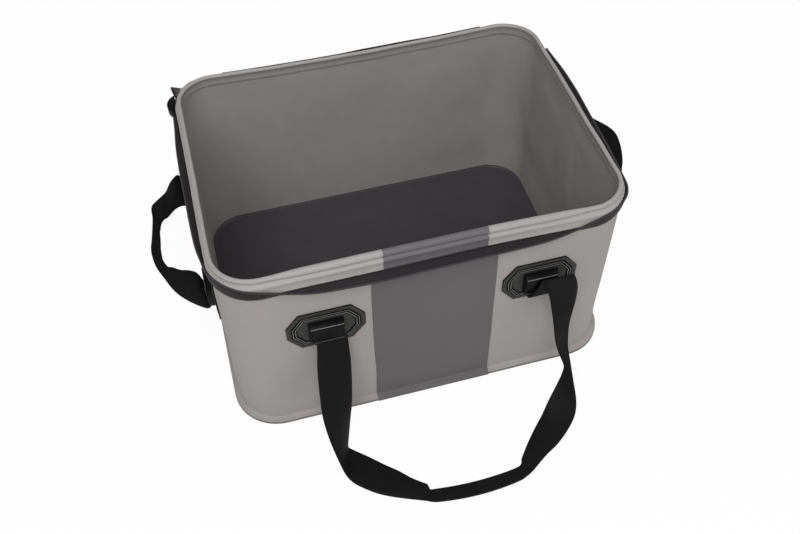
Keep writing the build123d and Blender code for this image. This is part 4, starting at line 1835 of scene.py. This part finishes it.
@dataclass
class Studio:
    """White surroundings, soft light and the camera."""

    place: tuple[float, float, float] = (-0.1678, -0.67224, 0.85733)
    turn: tuple[float, float, float] = (39.722, 0.696, -15.478)
    lens: float = 41.75
    world_strength: float = 0.36

    def build_camera(self) -> None:
        """Camera at the photograph's viewing angle."""
        data = bpy.data.cameras.new("camera")
        data.lens = self.lens
        data.sensor_width = 36.0
        camera = new_object("camera", data)
        camera.location = self.place
        camera.rotation_euler = Euler([math.radians(angle) for angle in self.turn])
        bpy.context.scene.camera = camera

    def build_world(self) -> None:
        """Even white surroundings, dimmer as a lamp than as a backdrop."""
        world = bpy.data.worlds.new("studio")
        bpy.context.scene.world = world
        world.use_nodes = True
        tree = world.node_tree
        backdrop = tree.nodes["Background"]
        backdrop.inputs["Color"].default_value = (1.0, 1.0, 1.0, 1.0)
        path = tree.nodes.new("ShaderNodeLightPath")
        strength = tree.nodes.new("ShaderNodeMapRange")
        strength.inputs["To Min"].default_value = self.world_strength
        strength.inputs["To Max"].default_value = 1.0
        tree.links.new(path.outputs["Is Camera Ray"], strength.inputs["Value"])
        tree.links.new(strength.outputs["Result"], backdrop.inputs["Strength"])

    def build_floor(self) -> None:
        """White floor that keeps a faint shadow."""
        bm = bmesh.new()
        bmesh.ops.create_grid(bm, x_segments=1, y_segments=1, size=6.0)
        mesh = bpy.data.meshes.new("studio_floor")
        bm.to_mesh(mesh)
        bm.free()
        shader = Shader("studio_floor")
        shader.set(Base_Color=(0.9, 0.9, 0.9, 1.0), Roughness=0.9, Specular_IOR_Level=0.0)
        glow = shader.node("ShaderNodeEmission")
        path = shader.node("ShaderNodeLightPath")
        share = shader.combine("MULTIPLY", path.outputs["Is Camera Ray"], 0.95)
        mix = shader.node("ShaderNodeMixShader")
        shader.link(share, mix.inputs["Fac"])
        shader.link(shader.surface.outputs["BSDF"], mix.inputs[1])
        shader.link(glow.outputs["Emission"], mix.inputs[2])
        output = shader.tree.nodes["Material Output"]
        shader.link(mix.outputs["Shader"], output.inputs["Surface"])
        mesh.materials.append(shader.material)
        floor = new_object("studio_floor", mesh)
        floor.location.z = -0.0005

    def build_lamp(
        self, name: str, place: Sequence[float], target: Sequence[float], size: float, watts: float
    ) -> None:
        """Soft square lamp.

        Args:
            name: Its name.
            place: Where it hangs.
            target: Where it points.
            size: Its edge.
            watts: Its power.
        """
        data = bpy.data.lights.new(name, "AREA")
        data.shape = "SQUARE"
        data.size = size
        data.energy = watts
        lamp = new_object(name, data)
        lamp.location = place
        aim = Vector(target) - Vector(place)
        lamp.rotation_euler = aim.to_track_quat("-Z", "Y").to_euler()

    def build(self) -> None:
        """Build the studio."""
        bpy.context.scene.view_settings.view_transform = "Standard"
        self.build_camera()
        self.build_world()
        self.build_floor()
        self.build_lamp("key", (-0.55, -1.4, 2.3), (0.0, 0.0, 0.1), 1.6, 48.0)
        self.build_lamp("fill", (1.7, -0.9, 1.5), (0.0, 0.0, 0.1), 1.6, 8.0)


def dress_frame(finishes: Finishes, frame: dict) -> None:
    """Give the frame's own rigid nodes their finishes.

    Args:
        finishes: The finishes.
        frame: The loaded frame.
    """
    chosen = {
        "base_board": "stiffening_board",
        "zip_end_cap_right": "patch_smooth",
        "zip_slider": "black_metal",
        "zip_slider_crown": "black_metal",
        "zip_pull": "black_metal",
        **{f"{wall.value}_strap_bars": "pin_steel" for wall in Wall},
    }
    for node, finish in chosen.items():
        mesh = frame["nodes"][node].data
        mesh.materials.clear()
        mesh.materials.append(finishes[finish])


def main() -> None:
    """Build the bag and its studio around the frame."""
    logging.basicConfig(level=logging.INFO, format="%(message)s")
    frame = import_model()
    finishes = Finishes()
    shop = Workshop(finishes)
    plan = Plan()
    shape = SoftShape(plan)
    Studio().build()
    for part in (Box, Rim, BodyZip):
        part(shop, plan, shape).build()
    for wall in Wall:
        Patch(shop).build(wall)
    for wall in Wall:
        handle = CarryHandle(shop) if wall.long else GrabHandle(shop)
        handle.build(wall)
    Lid(shop, plan, Vector((0.0, 154.5, 229.5)), 47.0984).build()
    dress_frame(finishes, frame)
    LOG.info("%d pieces made", shop.made)


if __name__ == "__main__":
    main()
